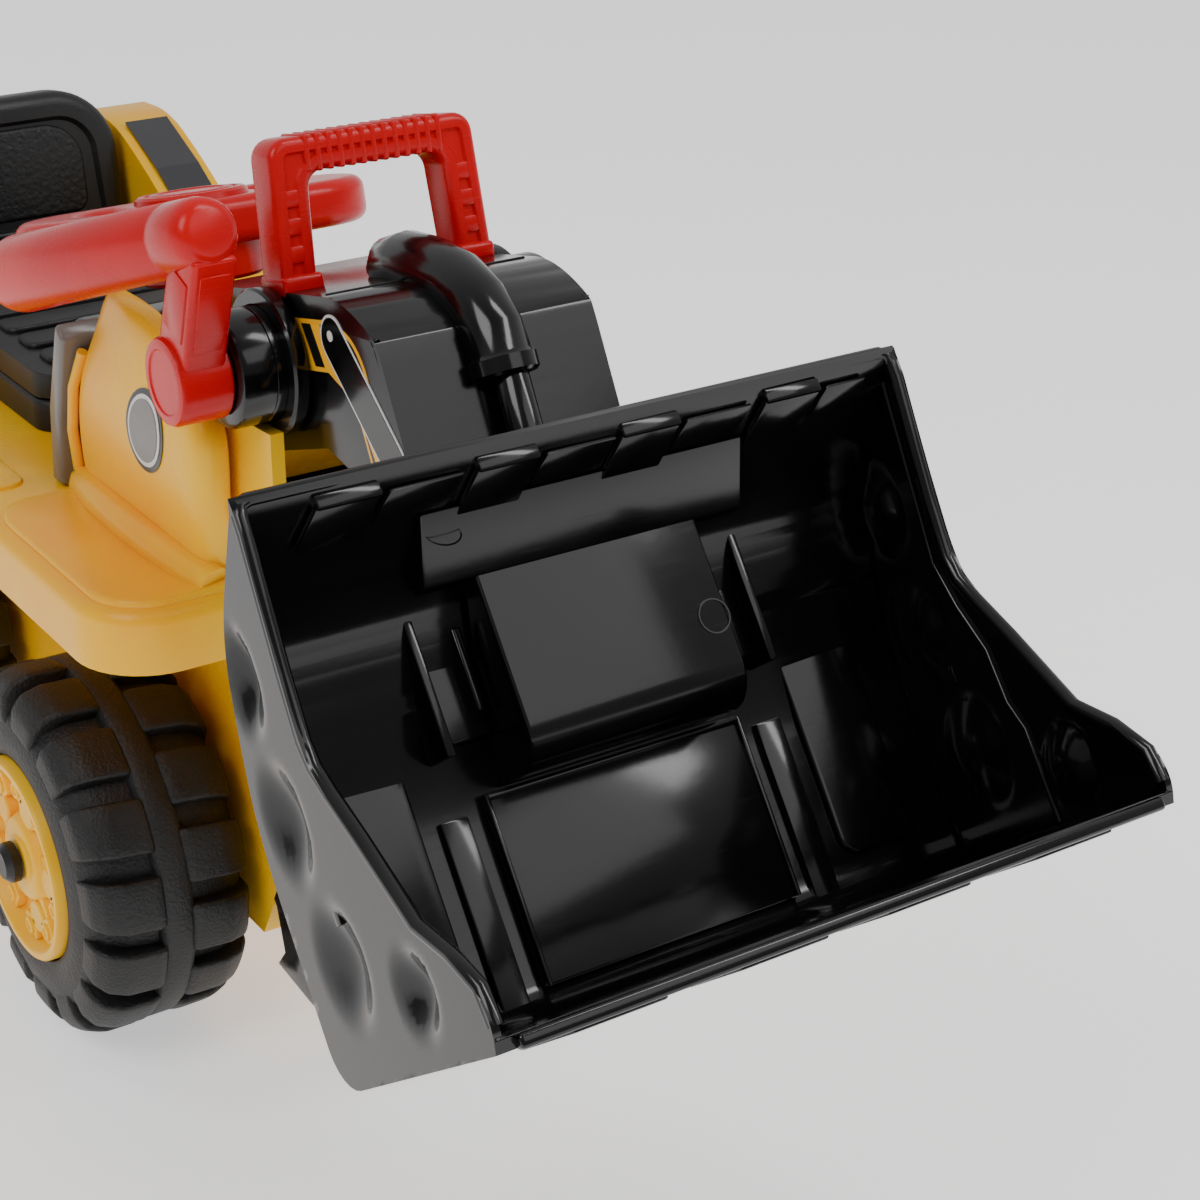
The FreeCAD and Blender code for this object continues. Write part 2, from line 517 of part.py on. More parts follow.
cut(boom, "Z", box_outline("-link_thick / 2 - 9", "link_thick / 2 + 9", f"slope_y - {SLOPE_RUN} - 2",
                           f"slope_y - {SLOPE_RUN} + leg_depth - 3"), "leg_end_z - 8", "leg_end_z + 8")
cut(boom, "X", [("pivot_y", "pivot_z", "lever_shaft_diameter / 2 + running_gap")], f"-{HALF_BOOM} - 1",
    f"{HALF_BOOM} + 1")
cut(boom, "X", [("bucket_pivot_y", "bucket_pivot_z", "bucket_pin_diameter / 2")], "-nose_width / 2 - 1",
    "nose_width / 2 + 1")

cover = new_body("boom_cover")
add(cover, "X", [("belly_rear_y - 65.6", "arch_z + 1"), ("belly_rear_y - 2.4", "belly_rear_z + 4"),
                 ("belly_rear_y - 2.4", "belly_rear_z + 4 + boom_wall"),
                 ("belly_rear_y - 65.6", "arch_z + 1 + boom_wall")],
    f"-{HALF_BOOM} + boom_wall + fit_gap", f"{HALF_BOOM} - boom_wall - fit_gap")

rod("bucket_pin", "bucket_pin_diameter / 2", "-housing_width / 2 + 1", "housing_width - 2",
    "bucket_pivot_y", "bucket_pivot_z")

# ---------------------------------------------------------------- carry handle and dummy cylinder
TOP_FALL = "(boom_crown_z - boom_rear_z) / (boom_rear_y - boom_crown_y)"
FOOT_Z = f"boom_crown_z - (handle_y - boom_crown_y) * {TOP_FALL}"
handle = new_body("carry_handle", y="handle_y", z=FOOT_Z + " + 4.5", turn="-handle_lean")
add(handle, "Y", [("-handle_width / 2", "0"), ("-handle_width / 2 + handle_post", "0"),
                  ("-handle_width / 2 + handle_post", "handle_height - handle_bar"),
                  ("handle_width / 2 - handle_post", "handle_height - handle_bar"),
                  ("handle_width / 2 - handle_post", "0"), ("handle_width / 2", "0"),
                  ("handle_width / 2 - 3", "handle_height"), ("-handle_width / 2 + 3", "handle_height")],
    "-handle_depth / 2", "handle_depth / 2")
round_edges(handle, "Y", "5", lambda point: point.z > number("handle_height - 2"))
screws = []
for index, sign in enumerate((-1, 1)):
    head = doc.addObject("Part::Cylinder", f"HandleScrewHead{index}")
    bind(head, "Radius", "screw_diameter / 2")
    bind(head, "Height", "2.5")
    set_place(head, x=f"({sign}) * (handle_width / 2 - handle_post / 2)", y="handle_y",
              z=FOOT_Z + " - boom_wall - 13")
    screws.append(head)

sleeve = new_body("cylinder_sleeve")
add(sleeve, "X", [("heel_y + 10", "heel_z - 2"), ("heel_y + 4", "heel_z + 10"),
                  ("heel_y - 12", "heel_z + 17"),
                  ("sleeve_crown_y", "sleeve_crown_z + sleeve_diameter / 2"),
                  ("sleeve_end_y + 12", "sleeve_end_z + 14"), ("sleeve_end_y - 13", "sleeve_end_z + 3"),
                  ("sleeve_end_y - 9", "sleeve_end_z - 13"), ("shoulder_y - 2", "shoulder_z + 0.5"),
                  ("shoulder_y + 12", "shoulder_z + 5"), ("boom_crown_y", "boom_crown_z + 0.5")],
    "-sleeve_diameter / 2", "sleeve_diameter / 2")
SLOPE_ANGLE = "28"
ROD_GAP = "fit_gap + 0.3"
ram = new_body("cylinder_rod", y=f"slope_y - (rod_diameter / 2 + {ROD_GAP}) / cos({SLOPE_ANGLE})", z="slope_z",
               turn="-" + SLOPE_ANGLE)
add(ram, "Z", [("0", "0", "rod_diameter / 2")], "-rod_length / 2", "rod_length / 3")

# ---------------------------------------------------------------- lever, crank and link
LEVER = {"y": "pivot_y", "z": "pivot_z"}
HUB_IN = "boom_width / 2 + barrel_length + 0.5"
lever_hub = new_body("lever_hub", node=False, **LEVER)
spin(lever_hub, [(f"-({HUB_IN})", "lever_shaft_diameter / 2"), (f"-({HUB_IN})", "lever_hub_diameter / 2"),
                 (f"-({HUB_IN} + lever_hub_length - 2)", "lever_hub_diameter / 2"),
                 (f"-({HUB_IN} + lever_hub_length)", "lever_hub_diameter / 2 - 2"),
                 (f"-({HUB_IN} + lever_hub_length)", "0"),
                 (f"-({HUB_IN} + lever_hub_length - 4)", "0"),
                 (f"-({HUB_IN} + lever_hub_length - 4)", "lever_shaft_diameter / 2")])
lever_arm = new_body("lever_arm", node=False, y="pivot_y", z="pivot_z", turn="lever_lean")
add(lever_arm, "X", [("-lever_arm_depth / 2", "lever_shaft_diameter"),
                     ("lever_arm_depth / 2", "lever_shaft_diameter"),
                     ("lever_arm_depth / 2 - 2", "lever_arm_length"),
                     ("-lever_arm_depth / 2", "lever_arm_length + 6")],
    f"-({HUB_IN} + lever_hub_length - 2)", f"-({HUB_IN} + lever_hub_length - 2 - lever_arm_width)")
grip = doc.addObject("Part::Cone", "Grip")
bind(grip, "Radius1", "grip_front_radius")
bind(grip, "Radius2", "grip_rear_radius")
bind(grip, "Height", "grip_length")
GRIP_FRONT = {"x": f"-({HUB_IN} + lever_hub_length / 2)",
              "y": "pivot_y - lever_arm_length * sin(lever_lean) - 10",
              "z": "pivot_z + lever_arm_length * cos(lever_lean) + 11"}
grip_way = FreeCAD.Vector(-number("sin(grip_splay)"), number("cos(grip_droop) * cos(grip_splay)"),
                          -number("sin(grip_droop)"))
grip_direction = FreeCAD.Rotation(Z_AXIS, grip_way)
grip.Placement = FreeCAD.Placement(FreeCAD.Vector(), grip_direction)
for letter, text in GRIP_FRONT.items():
    bind(grip, "Placement.Base." + letter, text)
side_lever = doc.addObject("Part::MultiFuse", "SideLever")
side_lever.Shapes = [lever_hub, lever_arm, grip]
make_node(side_lever, "side_lever")
rod("lever_shaft", "lever_shaft_diameter / 2", f"-({HUB_IN} + lever_hub_length - 4.2)",
    f"{HUB_IN} + lever_hub_length - 4.2 + {HALF_BOOM} + barrel_length", "pivot_y", "pivot_z")

CRANK_Y, CRANK_Z = "crank_length * cos(crank_angle)", "crank_length * sin(crank_angle)"
CRANK_X = "-link_thick / 2 - 0.5"


def eye_bar(body, start_y, start_z, end_y, end_z, radius, half, low, high):
    """Flat bar with a round eye at each end."""
    run, rise = f"({end_y} - ({start_y}))", f"({end_z} - ({start_z}))"
    span = f"sqrt({run} * {run} + {rise} * {rise})"
    side_y, side_z = f"({half}) * {rise} / {span}", f"({half}) * {run} / {span}"
    add(body, "X", [(f"{start_y} - {side_y}", f"{start_z} + {side_z}"),
                    (f"{start_y} + {side_y}", f"{start_z} - {side_z}"),
                    (f"{end_y} + {side_y}", f"{end_z} - {side_z}"),
                    (f"{end_y} - {side_y}", f"{end_z} + {side_z}")], low, high)
    add(body, "X", [(start_y, start_z, radius)], low, high)
    add(body, "X", [(end_y, end_z, radius)], low, high)


crank = new_body("bucket_crank", **LEVER)
eye_bar(crank, "0", "0", CRANK_Y, CRANK_Z, "link_eye_radius", "link_eye_radius - 0.5",
        f"{CRANK_X} - crank_thick", CRANK_X)
add(crank, "X", [("0", "0", "lever_shaft_diameter / 2 + 3.2")], f"{CRANK_X} - crank_thick", CRANK_X)
add(crank, "X", [(CRANK_Y, CRANK_Z, "link_pin_diameter / 2")], f"{CRANK_X} - 1", "link_thick / 2 + 2")
cut(crank, "X", [("0", "0", "lever_shaft_diameter / 2")], f"{CRANK_X} - crank_thick - 1",
    "link_thick + 4")

BAR_END_Y = f"bucket_pivot_y - pivot_y + {CRANK_Y}"
BAR_END_Z = f"bucket_pivot_z - pivot_z + {CRANK_Z}"
link = new_body("link_rod", **LEVER)
eye_bar(link, CRANK_Y, CRANK_Z, BAR_END_Y, BAR_END_Z, "link_eye_radius", "link_bar_depth / 2",
        "-link_thick / 2", "link_thick / 2")
cut(link, "X", [(CRANK_Y, CRANK_Z, "link_pin_diameter / 2 + running_gap")], "-link_thick", "link_thick")
cut(link, "X", [(BAR_END_Y, BAR_END_Z, "link_pin_diameter / 2 + fit_gap")], "-link_thick", "link_thick")

# ---------------------------------------------------------------- bucket, drawn level about its pivot
BUCKET = {"y": "bucket_pivot_y", "z": "bucket_pivot_z", "turn": "-curl"}
HALF_BUCKET = "bucket_width / 2"


def bucket_back_line(inset):
    """Back and floor of the bucket from the top rim to the lip, seen from the side."""
    return [("-bucket_rim_reach + 4 - {0} * 0.4", "bucket_top - 6 - {0}"),
            ("-bucket_rim_reach + 29.5 - {0} * 0.7", "bucket_top - 26.5 - {0} * 0.9"),
            ("-bucket_rim_reach + 45.5 - {0} * 0.9", "bucket_top - 41.5 - {0} * 0.6"),
            ("bucket_back - 11 - {0}", "bucket_top - 73 - {0} * 0.4"),
            ("bucket_back - {0}", "-12 - {0} * 0.2"),
            ("bucket_back - {0}", "-bucket_floor + {0}"),
            ("-bucket_reach + 4 - {0} * 3", "-bucket_floor + {0}")]


bucket = new_body("bucket_shell", **BUCKET)
add(bucket, "X", formed(bucket_back_line("{0}"), "0") + [
    ("-bucket_reach", "-bucket_floor + 9"), ("-bucket_reach + 3", "-bucket_floor + 22"),
    ("-bucket_reach + 16", "-bucket_floor + 32"), ("-bucket_knee_reach", "-bucket_knee"),
    ("-bucket_waist_reach - 8.5", "-bucket_waist - 2.5"), ("-bucket_waist_reach", "bucket_waist"),
    ("-bucket_waist_reach - 5.5", "bucket_top - 41"), ("-bucket_rim_reach", "bucket_top - 14"),
    ("-bucket_rim_reach", "bucket_top")], f"-{HALF_BUCKET}", HALF_BUCKET)


round_edges(bucket, "X", "bucket_heel_radius",
            lambda point: point.y > number("bucket_back - 1") and point.z < number("-bucket_floor + 1"))
inner = formed(bucket_back_line("{0}"), "bucket_wall")
inner[5:6] = [("bucket_back - bucket_wall", "-bucket_floor + bucket_heel_radius"),
              ("bucket_back - bucket_heel_radius * 0.32 - bucket_wall",
               "-bucket_floor + bucket_heel_radius * 0.32 + bucket_wall"),
              ("bucket_back - bucket_heel_radius", "-bucket_floor + bucket_wall")]
cut(bucket, "X", [("-bucket_rim_reach - 70", "bucket_top - 6 - bucket_wall")] + inner
    + [("-bucket_reach - 20", "-bucket_floor + bucket_wall")], f"-{HALF_BUCKET} + bucket_wall",
    f"{HALF_BUCKET} - bucket_wall")
POCKET_HALF = "housing_width / 2 - housing_wall"
cut(bucket, "X", [("bucket_back + 1", "-nose_radius - 1"),
                  ("bucket_back - bucket_wall - 1", "-nose_radius - 1"),
                  ("-housing_front + 6", "housing_top - 16"),
                  ("-bucket_rim_reach + 29", "bucket_top - 20"),
                  ("bucket_back + 1", "bucket_top - 20")], f"-({POCKET_HALF})", POCKET_HALF)

housing = new_body("bucket_housing", **BUCKET)
BACK_GAP = "(0.4 + bucket_wall)"
HOUSING_SIDE = [("-housing_front", "-6"), ("-housing_front + 6", "-nose_radius - 1.5"),
                ("-4", "-nose_radius - housing_wall - 1.2"),
                (f"bucket_back - {BACK_GAP}", "-nose_radius - housing_wall - 1.2"),
                (f"bucket_back - {BACK_GAP}", "-14"),
                (f"bucket_back - 11 - {BACK_GAP} - 0.4", "bucket_top - 74.6"),
                (f"-bucket_rim_reach + 45.5 - {BACK_GAP} * 1.15", "bucket_top - 41.5 - 2.8"),
                ("-housing_front", "housing_top - 16")]
add(housing, "X", HOUSING_SIDE, "-housing_width / 2", "housing_width / 2")
add(housing, "X", [("-housing_front", "housing_top - housing_head"),
                   ("-bucket_rim_reach + 39", "housing_top - housing_head"),
                   ("-bucket_rim_reach + 39", "housing_top - 25"),
                   ("-bucket_rim_reach + 27", "housing_top - 14"),
                   ("-bucket_rim_reach + 16", "housing_top - 5.5"),
                   ("-bucket_rim_reach + 14", "housing_top - 5.5")],
    "-housing_head_width / 2", "housing_head_width / 2")
cut(housing, "X", [("-housing_front + housing_wall", "-5"),
                   ("-housing_front + 6 + housing_wall * 0.8", "-nose_radius + 0.5"),
                   ("-4", "-nose_radius - 0.8"), ("bucket_back + 5", "-nose_radius - 0.8"),
                   ("bucket_back + 5", "bucket_top"),
                   ("-housing_front + housing_wall", "bucket_top")], f"-({POCKET_HALF})", POCKET_HALF)
HORN_Y = "crank_length * cos(crank_angle + curl)"
HORN_Z = "crank_length * sin(crank_angle + curl)"
HORN_LOW, HORN_HIGH = "-link_thick / 2 - 0.5 - crank_thick", "-link_thick / 2 - 0.5"
add(housing, "X", [("-housing_front + 1", "-9"), ("0", "-9"), ("7", "0"), (f"{HORN_Y} + 5", HORN_Z),
                   (HORN_Y, f"{HORN_Z} + 5"), ("-housing_front + 1", f"{HORN_Z} + 12")], HORN_LOW,
    HORN_HIGH)
add(housing, "X", [(HORN_Y, HORN_Z, "link_pin_diameter / 2")], f"{HORN_HIGH} - 1", "link_thick / 2 + 2")
cut(housing, "X", [("0", "0", "bucket_pin_diameter / 2 + running_gap")], "-housing_width / 2 - 1",
    "housing_width / 2 + 1")

plate = new_body("bucket_plate", **BUCKET)
PLATE_BACK = "bucket_back - bucket_wall - 0.1"
add(plate, "X", box_outline(f"{PLATE_BACK} - plate_thick", PLATE_BACK,
                            "-bucket_floor + bucket_heel_radius + 1",
                            "-nose_radius - housing_wall - 1.8"), "-plate_width / 2", "plate_width / 2")

# ---------------------------------------------------------------- steering wheel
wheel = new_body("steering_wheel", **COLUMN)
add(wheel, "Z", box_outline("-wheel_span / 2", "wheel_span / 2", "-wheel_depth / 2", "wheel_depth / 2"),
    "-wheel_thick", "0")
round_edges(wheel, "Z", "wheel_depth / 2 - 3")
add(wheel, "Z", [("0", "0", "wheel_hub_diameter / 2")], "-wheel_thick - wheel_hub_drop + 10", "0")
for sign in (-1, 1):
    hole_x = f"grip_hole_offset * ({sign})"
    cut(wheel, "Z", box_outline(f"{hole_x} - grip_hole_span / 2", f"{hole_x} + grip_hole_span / 2",
                                "-grip_hole_depth / 2", "grip_hole_depth / 2"), "-wheel_thick - 1", "1")
BUTTON_WELL = "button_height + button_travel + 2"
cut(wheel, "Z", [("0", "0", "button_diameter / 2 + 0.5")], f"-({BUTTON_WELL})", "1")
cut(wheel, "Z", [("0", "0", "shaft_diameter / 2")], "-wheel_thick - wheel_hub_drop",
    f"-({BUTTON_WELL}) - 4")
shaft = new_body("steering_shaft", **COLUMN)
add(shaft, "Z", [("0", "0", "shaft_diameter / 2")], "-shaft_length", f"-({BUTTON_WELL}) - 4.1")
clip = new_body("shaft_clip", **COLUMN)
add(clip, "Z", [("0", "0", "shaft_diameter / 2 + 4")], f"{BUSH_LOW} - 3.5", f"{BUSH_LOW} - 0.5")
cut(clip, "Z", [("0", "0", "shaft_diameter / 2")], f"{BUSH_LOW} - 4", BUSH_LOW)
button = new_body("horn_button", **COLUMN)
add(button, "Z", [("0", "0", "button_diameter / 2")], "-button_height + 4", "4")
cut(button, "Z", [("0", "0", "button_diameter / 2 - 2.5")], "-button_height + 3", "2")
spring = new_body("horn_spring", **COLUMN)
add(spring, "Z", [("0", "0", "button_diameter / 4")], f"-({BUTTON_WELL}) + 0.1", "1.9")
cut(spring, "Z", [("0", "0", "button_diameter / 4 - 1.5")], f"-({BUTTON_WELL})", "3")

# ---------------------------------------------------------------- seat, lid, storage bin and backrest
HALF_SEAT = "seat_width / 2"
BASE_TOP = "deck_z + seat_base_height"
BIN_Y = ("seat_front_y + 14", "seat_front_y + 14 + bin_length")
base = new_body("seat_base")
add(base, "Z", box_outline(f"-{HALF_SEAT}", HALF_SEAT, "seat_front_y", "seat_rear_y"), "deck_z + fit_gap",
    BASE_TOP)
round_edges(base, "Z", "12")
cut(base, "Z", box_outline("-bin_width / 2 - 0.2", "bin_width / 2 + 0.2", f"{BIN_Y[0]} - 0.2",
                           f"{BIN_Y[1]} + 0.2"),
    "deck_z", f"{BASE_TOP} + 1")
storage = new_body("storage_bin")
add(storage, "Z", box_outline("-bin_width / 2", "bin_width / 2", *BIN_Y), f"{BASE_TOP} - bin_depth",
    f"{BASE_TOP} - 0.2")
cut(storage, "Z", box_outline("-bin_width / 2 + 2", "bin_width / 2 - 2", f"{BIN_Y[0]} + 2",
                              f"{BIN_Y[1]} - 2"),
    f"{BASE_TOP} - bin_depth + 2", BASE_TOP)
HINGE_Y, HINGE_Z = "seat_rear_y + 1", f"{BASE_TOP} + lid_gap + lid_thick / 2"
lid = new_body("seat_lid")
add(lid, "Z", box_outline(f"-{HALF_SEAT} + 1", f"{HALF_SEAT} - 1", "seat_front_y + 1", "seat_rear_y - 4"),
    f"{BASE_TOP} + lid_gap", f"{BASE_TOP} + lid_gap + lid_thick")
round_edges(lid, "Z", "12")
RIB_COUNT = 4
for index in range(RIB_COUNT):
    rib_y = f"seat_front_y + 22 + {index} * (seat_rear_y - seat_front_y - 60) / {RIB_COUNT - 1}"
    add(lid, "Z", box_outline(f"-{HALF_SEAT} + 14", f"{HALF_SEAT} - 14", f"{rib_y} - 8", f"{rib_y} + 8"),
        f"{BASE_TOP} + lid_gap + lid_thick - 1", f"{BASE_TOP} + lid_gap + lid_thick + lid_rib")
for sign in (-1, 1):
    ear = (f"({sign}) * 30 - 9", f"({sign}) * 30 + 9")
    add(lid, "X", [("seat_rear_y - 6", f"{HINGE_Z} - 4.5"), (HINGE_Y, f"{HINGE_Z} - 4.5"),
                   (HINGE_Y, f"{HINGE_Z} + 4.5"),
                   ("seat_rear_y - 6", f"{HINGE_Z} + 4.5")], *ear)
    add(lid, "X", [(HINGE_Y, HINGE_Z, "4.5")], *ear)
cut(lid, "X", [(HINGE_Y, HINGE_Z, "hinge_diameter / 2 + running_gap")], "-45", "45")
rod("seat_hinge_pin", "hinge_diameter / 2", "-52", "104", HINGE_Y, HINGE_Z)
brackets = []
for sign in (-1, 1):
    bracket = new_body("HingeBracket", node=False)
    eye = (f"({sign}) * 47 - 4", f"({sign}) * 47 + 4")
    add(bracket, "X", [("seat_rear_y + fit_gap", "deck_z + fit_gap"),
                       ("seat_rear_y + 7", "deck_z + fit_gap"),
                       ("seat_rear_y + 6", f"{HINGE_Z} + 2"),
                       ("seat_rear_y + fit_gap", f"{HINGE_Z} + 2")], *eye)
    add(bracket, "X", [(HINGE_Y, HINGE_Z, "5")], *eye)
    cut(bracket, "X", [(HINGE_Y, HINGE_Z, "hinge_diameter / 2")], "-60", "60")
    brackets.append(bracket)

back = new_body("backrest", y="seat_rear_y + 12", z="deck_z + fit_gap + back_thick * sin(back_lean)",
                turn="-back_lean")
add(back, "Y", box_outline("-back_width / 2", "back_width / 2", "0", "back_height"), "0", "back_thick")
round_edges(back, "Y", "back_corner", lambda point: point.z > number("back_height / 2"))

# ---------------------------------------------------------------- rear cover
REAR_SIDE = [("rear_front_y", "deck_z + fit_gap"), ("body_rear_y", "deck_z + fit_gap"),
             ("body_rear_y", "rear_top_z - 14"),
             ("body_rear_y - 12", "rear_top_z - 2"), ("rear_crest_y", "rear_top_z"),
             ("rear_mid_y", "rear_mid_z"),
             ("rear_front_y", "deck_z + 4")]
rear = new_body("rear_cover")
add(rear, "X", REAR_SIDE, "-rear_width / 2", "rear_width / 2")
round_edges(rear, "Z", "20", lambda point: point.y > number("body_rear_y - 1"))
cut(rear, "X", [("rear_front_y + 14", "deck_z"), ("body_rear_y - wall", "deck_z"),
                ("body_rear_y - wall", "rear_top_z - 18"),
                ("body_rear_y - 15", "rear_top_z - 6"), ("rear_crest_y", "rear_top_z - 4"),
                ("rear_mid_y + 2", "rear_mid_z - 4")],
    "-rear_width / 2 + wall", "rear_width / 2 - wall")
cut(rear, "Z", box_outline("-rear_bay_width / 2", "rear_bay_width / 2", "rear_front_y - 1", "rear_bay_y"),
    "deck_z", "rear_top_z + 1")
for low, high in (("-rear_bay_width / 2 - wall", "-rear_bay_width / 2"),
                  ("rear_bay_width / 2", "rear_bay_width / 2 + wall")):
    add(rear, "X", [("rear_front_y + 4", "deck_z + fit_gap"), ("rear_bay_y + wall", "deck_z + fit_gap"),
                    ("rear_bay_y + wall", "rear_top_z - 2"), ("rear_crest_y", "rear_top_z - 2"),
                    ("rear_mid_y", "rear_mid_z - 2"),
                    ("rear_front_y + 4", "deck_z + 4")], low, high)
add(rear, "Y", box_outline("-rear_bay_width / 2 - 1", "rear_bay_width / 2 + 1", "deck_z + fit_gap",
                           "rear_top_z - 3"),
    "rear_bay_y", "rear_bay_y + wall")
PANEL_FRONT_Y = "rear_front_y + 20"
PANEL_FRONT_Z = "deck_z + 4 + 20 * (rear_mid_z - deck_z - 4) / (rear_mid_y - rear_front_y)"
for side, sign in SIDES.items():
    window = new_body(f"side_panel_{side}")
    inner_x, outer_x = "rear_bay_width / 2 + 6", "rear_bay_width / 2 + 6 + panel_width"
    spans = (inner_x, outer_x) if sign > 0 else (f"-({outer_x})", f"-({inner_x})")
    add(window, "X", [(PANEL_FRONT_Y, f"{PANEL_FRONT_Z} + 0.2"), ("rear_mid_y", "rear_mid_z + 0.2"),
                      ("rear_crest_y - 6", "rear_top_z - 2.6"),
                      ("rear_crest_y - 6", "rear_top_z - 2.4 + panel_thick"),
                      ("rear_mid_y", "rear_mid_z + 0.4 + panel_thick"),
                      (PANEL_FRONT_Y, f"{PANEL_FRONT_Z} + 0.3 + panel_thick")], *spans)

grille = new_body("rear_grille")
add(grille, "Y", box_outline("-grille_width / 2", "grille_width / 2", "deck_z + 12",
                             "deck_z + 12 + grille_height"),
    "body_rear_y + 0.1", "body_rear_y + grille_thick")
SLOTS = 5
for index in range(SLOTS):
    slot_z = f"deck_z + 12 + grille_bar + {index} * (grille_height - grille_bar) / {SLOTS}"
    cut(grille, "Y", box_outline("-grille_width / 2 + 8", "grille_width / 2 - 8", slot_z,
                                 f"{slot_z} + (grille_height - grille_bar) / {SLOTS} - grille_bar"),
        "body_rear_y", "body_rear_y + grille_thick + 1")
lamps = []
for sign in (-1, 1):
    lamp = new_body("TailLamp", node=False, x=f"({sign}) * (grille_width / 2 + 16)",
                    z="deck_z + 12 + grille_height / 2")
    add(lamp, "Y", [("0", "0", "lamp_diameter / 2")], "body_rear_y + 0.1", "body_rear_y + grille_thick")
    lamps.append(lamp)

# ---------------------------------------------------------------- groups
group("handle_screws", screws)
group("hinge_brackets", brackets)
group("tail_lamps", lamps)

# ---------------------------------------------------------------- checks and export
doc.recompute()
for item in doc.Objects:
    if "Invalid" in item.State or "Error" in item.State:
        raise ValueError(f"{item.Label} failed: {item.State}")
os.makedirs("parts", exist_ok=True)
for node in nodes:
    shape = node.Shape
    if shape.isNull() or not shape.isValid() or shape.Volume < 1:
        raise ValueError(f"{node.Label} has no sound shape")
    shape.exportStep(f"parts/{node.Label}.step")
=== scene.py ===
"""Looks of the ride-on loader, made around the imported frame. The pieces are drawn in millimetres."""
import json
import math
import bpy
import bmesh
from mathutils import Matrix, Vector
from mathutils.bvhtree import BVHTree


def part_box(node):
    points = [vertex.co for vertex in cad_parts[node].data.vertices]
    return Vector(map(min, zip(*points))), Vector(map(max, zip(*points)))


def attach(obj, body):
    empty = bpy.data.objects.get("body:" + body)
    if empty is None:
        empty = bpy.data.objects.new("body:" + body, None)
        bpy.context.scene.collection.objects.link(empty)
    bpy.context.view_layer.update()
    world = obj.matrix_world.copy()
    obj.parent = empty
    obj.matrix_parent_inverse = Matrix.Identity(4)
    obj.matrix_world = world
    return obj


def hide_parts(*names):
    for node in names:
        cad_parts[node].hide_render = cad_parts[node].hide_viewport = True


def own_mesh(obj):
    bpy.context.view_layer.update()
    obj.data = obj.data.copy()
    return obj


MM = 0.001
scene = bpy.context.scene

# ------------------------------------------------------------------ camera
camera = bpy.data.objects.new("camera", bpy.data.cameras.new("camera"))
scene.collection.objects.link(camera)
scene.camera = camera
camera.location = Vector((-474.7, -989.5, 710.0)) * MM
camera.rotation_euler = (math.radians(65.28), 0.0, math.radians(-33.37))
camera.data.sensor_width = 36.0
camera.data.lens = 76.0
camera.data.clip_start = 0.05
camera.data.clip_end = 50.0

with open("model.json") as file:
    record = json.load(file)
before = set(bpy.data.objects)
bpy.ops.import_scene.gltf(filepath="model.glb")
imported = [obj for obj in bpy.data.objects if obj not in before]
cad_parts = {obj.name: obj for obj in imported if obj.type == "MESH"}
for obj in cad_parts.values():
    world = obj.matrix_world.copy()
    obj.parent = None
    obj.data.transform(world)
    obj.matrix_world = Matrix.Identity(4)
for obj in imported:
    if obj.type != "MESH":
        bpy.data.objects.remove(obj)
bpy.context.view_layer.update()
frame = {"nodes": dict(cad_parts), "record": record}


# ------------------------------------------------------------------ materials
def colour(code):
    """sRGB hex to the linear colour that a shader takes."""
    parts = [int(code[i:i + 2], 16) / 255 for i in (1, 3, 5)]
    return tuple(p / 12.92 if p <= 0.04045 else ((p + 0.055) / 1.055) ** 2.4 for p in parts) + (1.0,)


def add_node(tree, kind, values=None, links=None, **settings):
    """One node: values go to its sockets, links join its sockets to (node, output), settings are its own."""
    made = tree.nodes.new("ShaderNode" + kind)
    for name, value in settings.items():
        setattr(made, name, value)
    for socket, value in (values or {}).items():
        made.inputs[socket].default_value = value
    for socket, (source, output) in (links or {}).items():
        tree.links.new(source.outputs[output], made.inputs[socket])
    return made


def start_material(name):
    made = bpy.data.materials.new(name)
    made.use_nodes = True
    tree = made.node_tree
    tree.nodes.clear()
    place = add_node(tree, "TexCoord")
    return made, tree, place


def end_material(tree, shader):
    add_node(tree, "OutputMaterial", links={"Surface": (shader, "BSDF")})


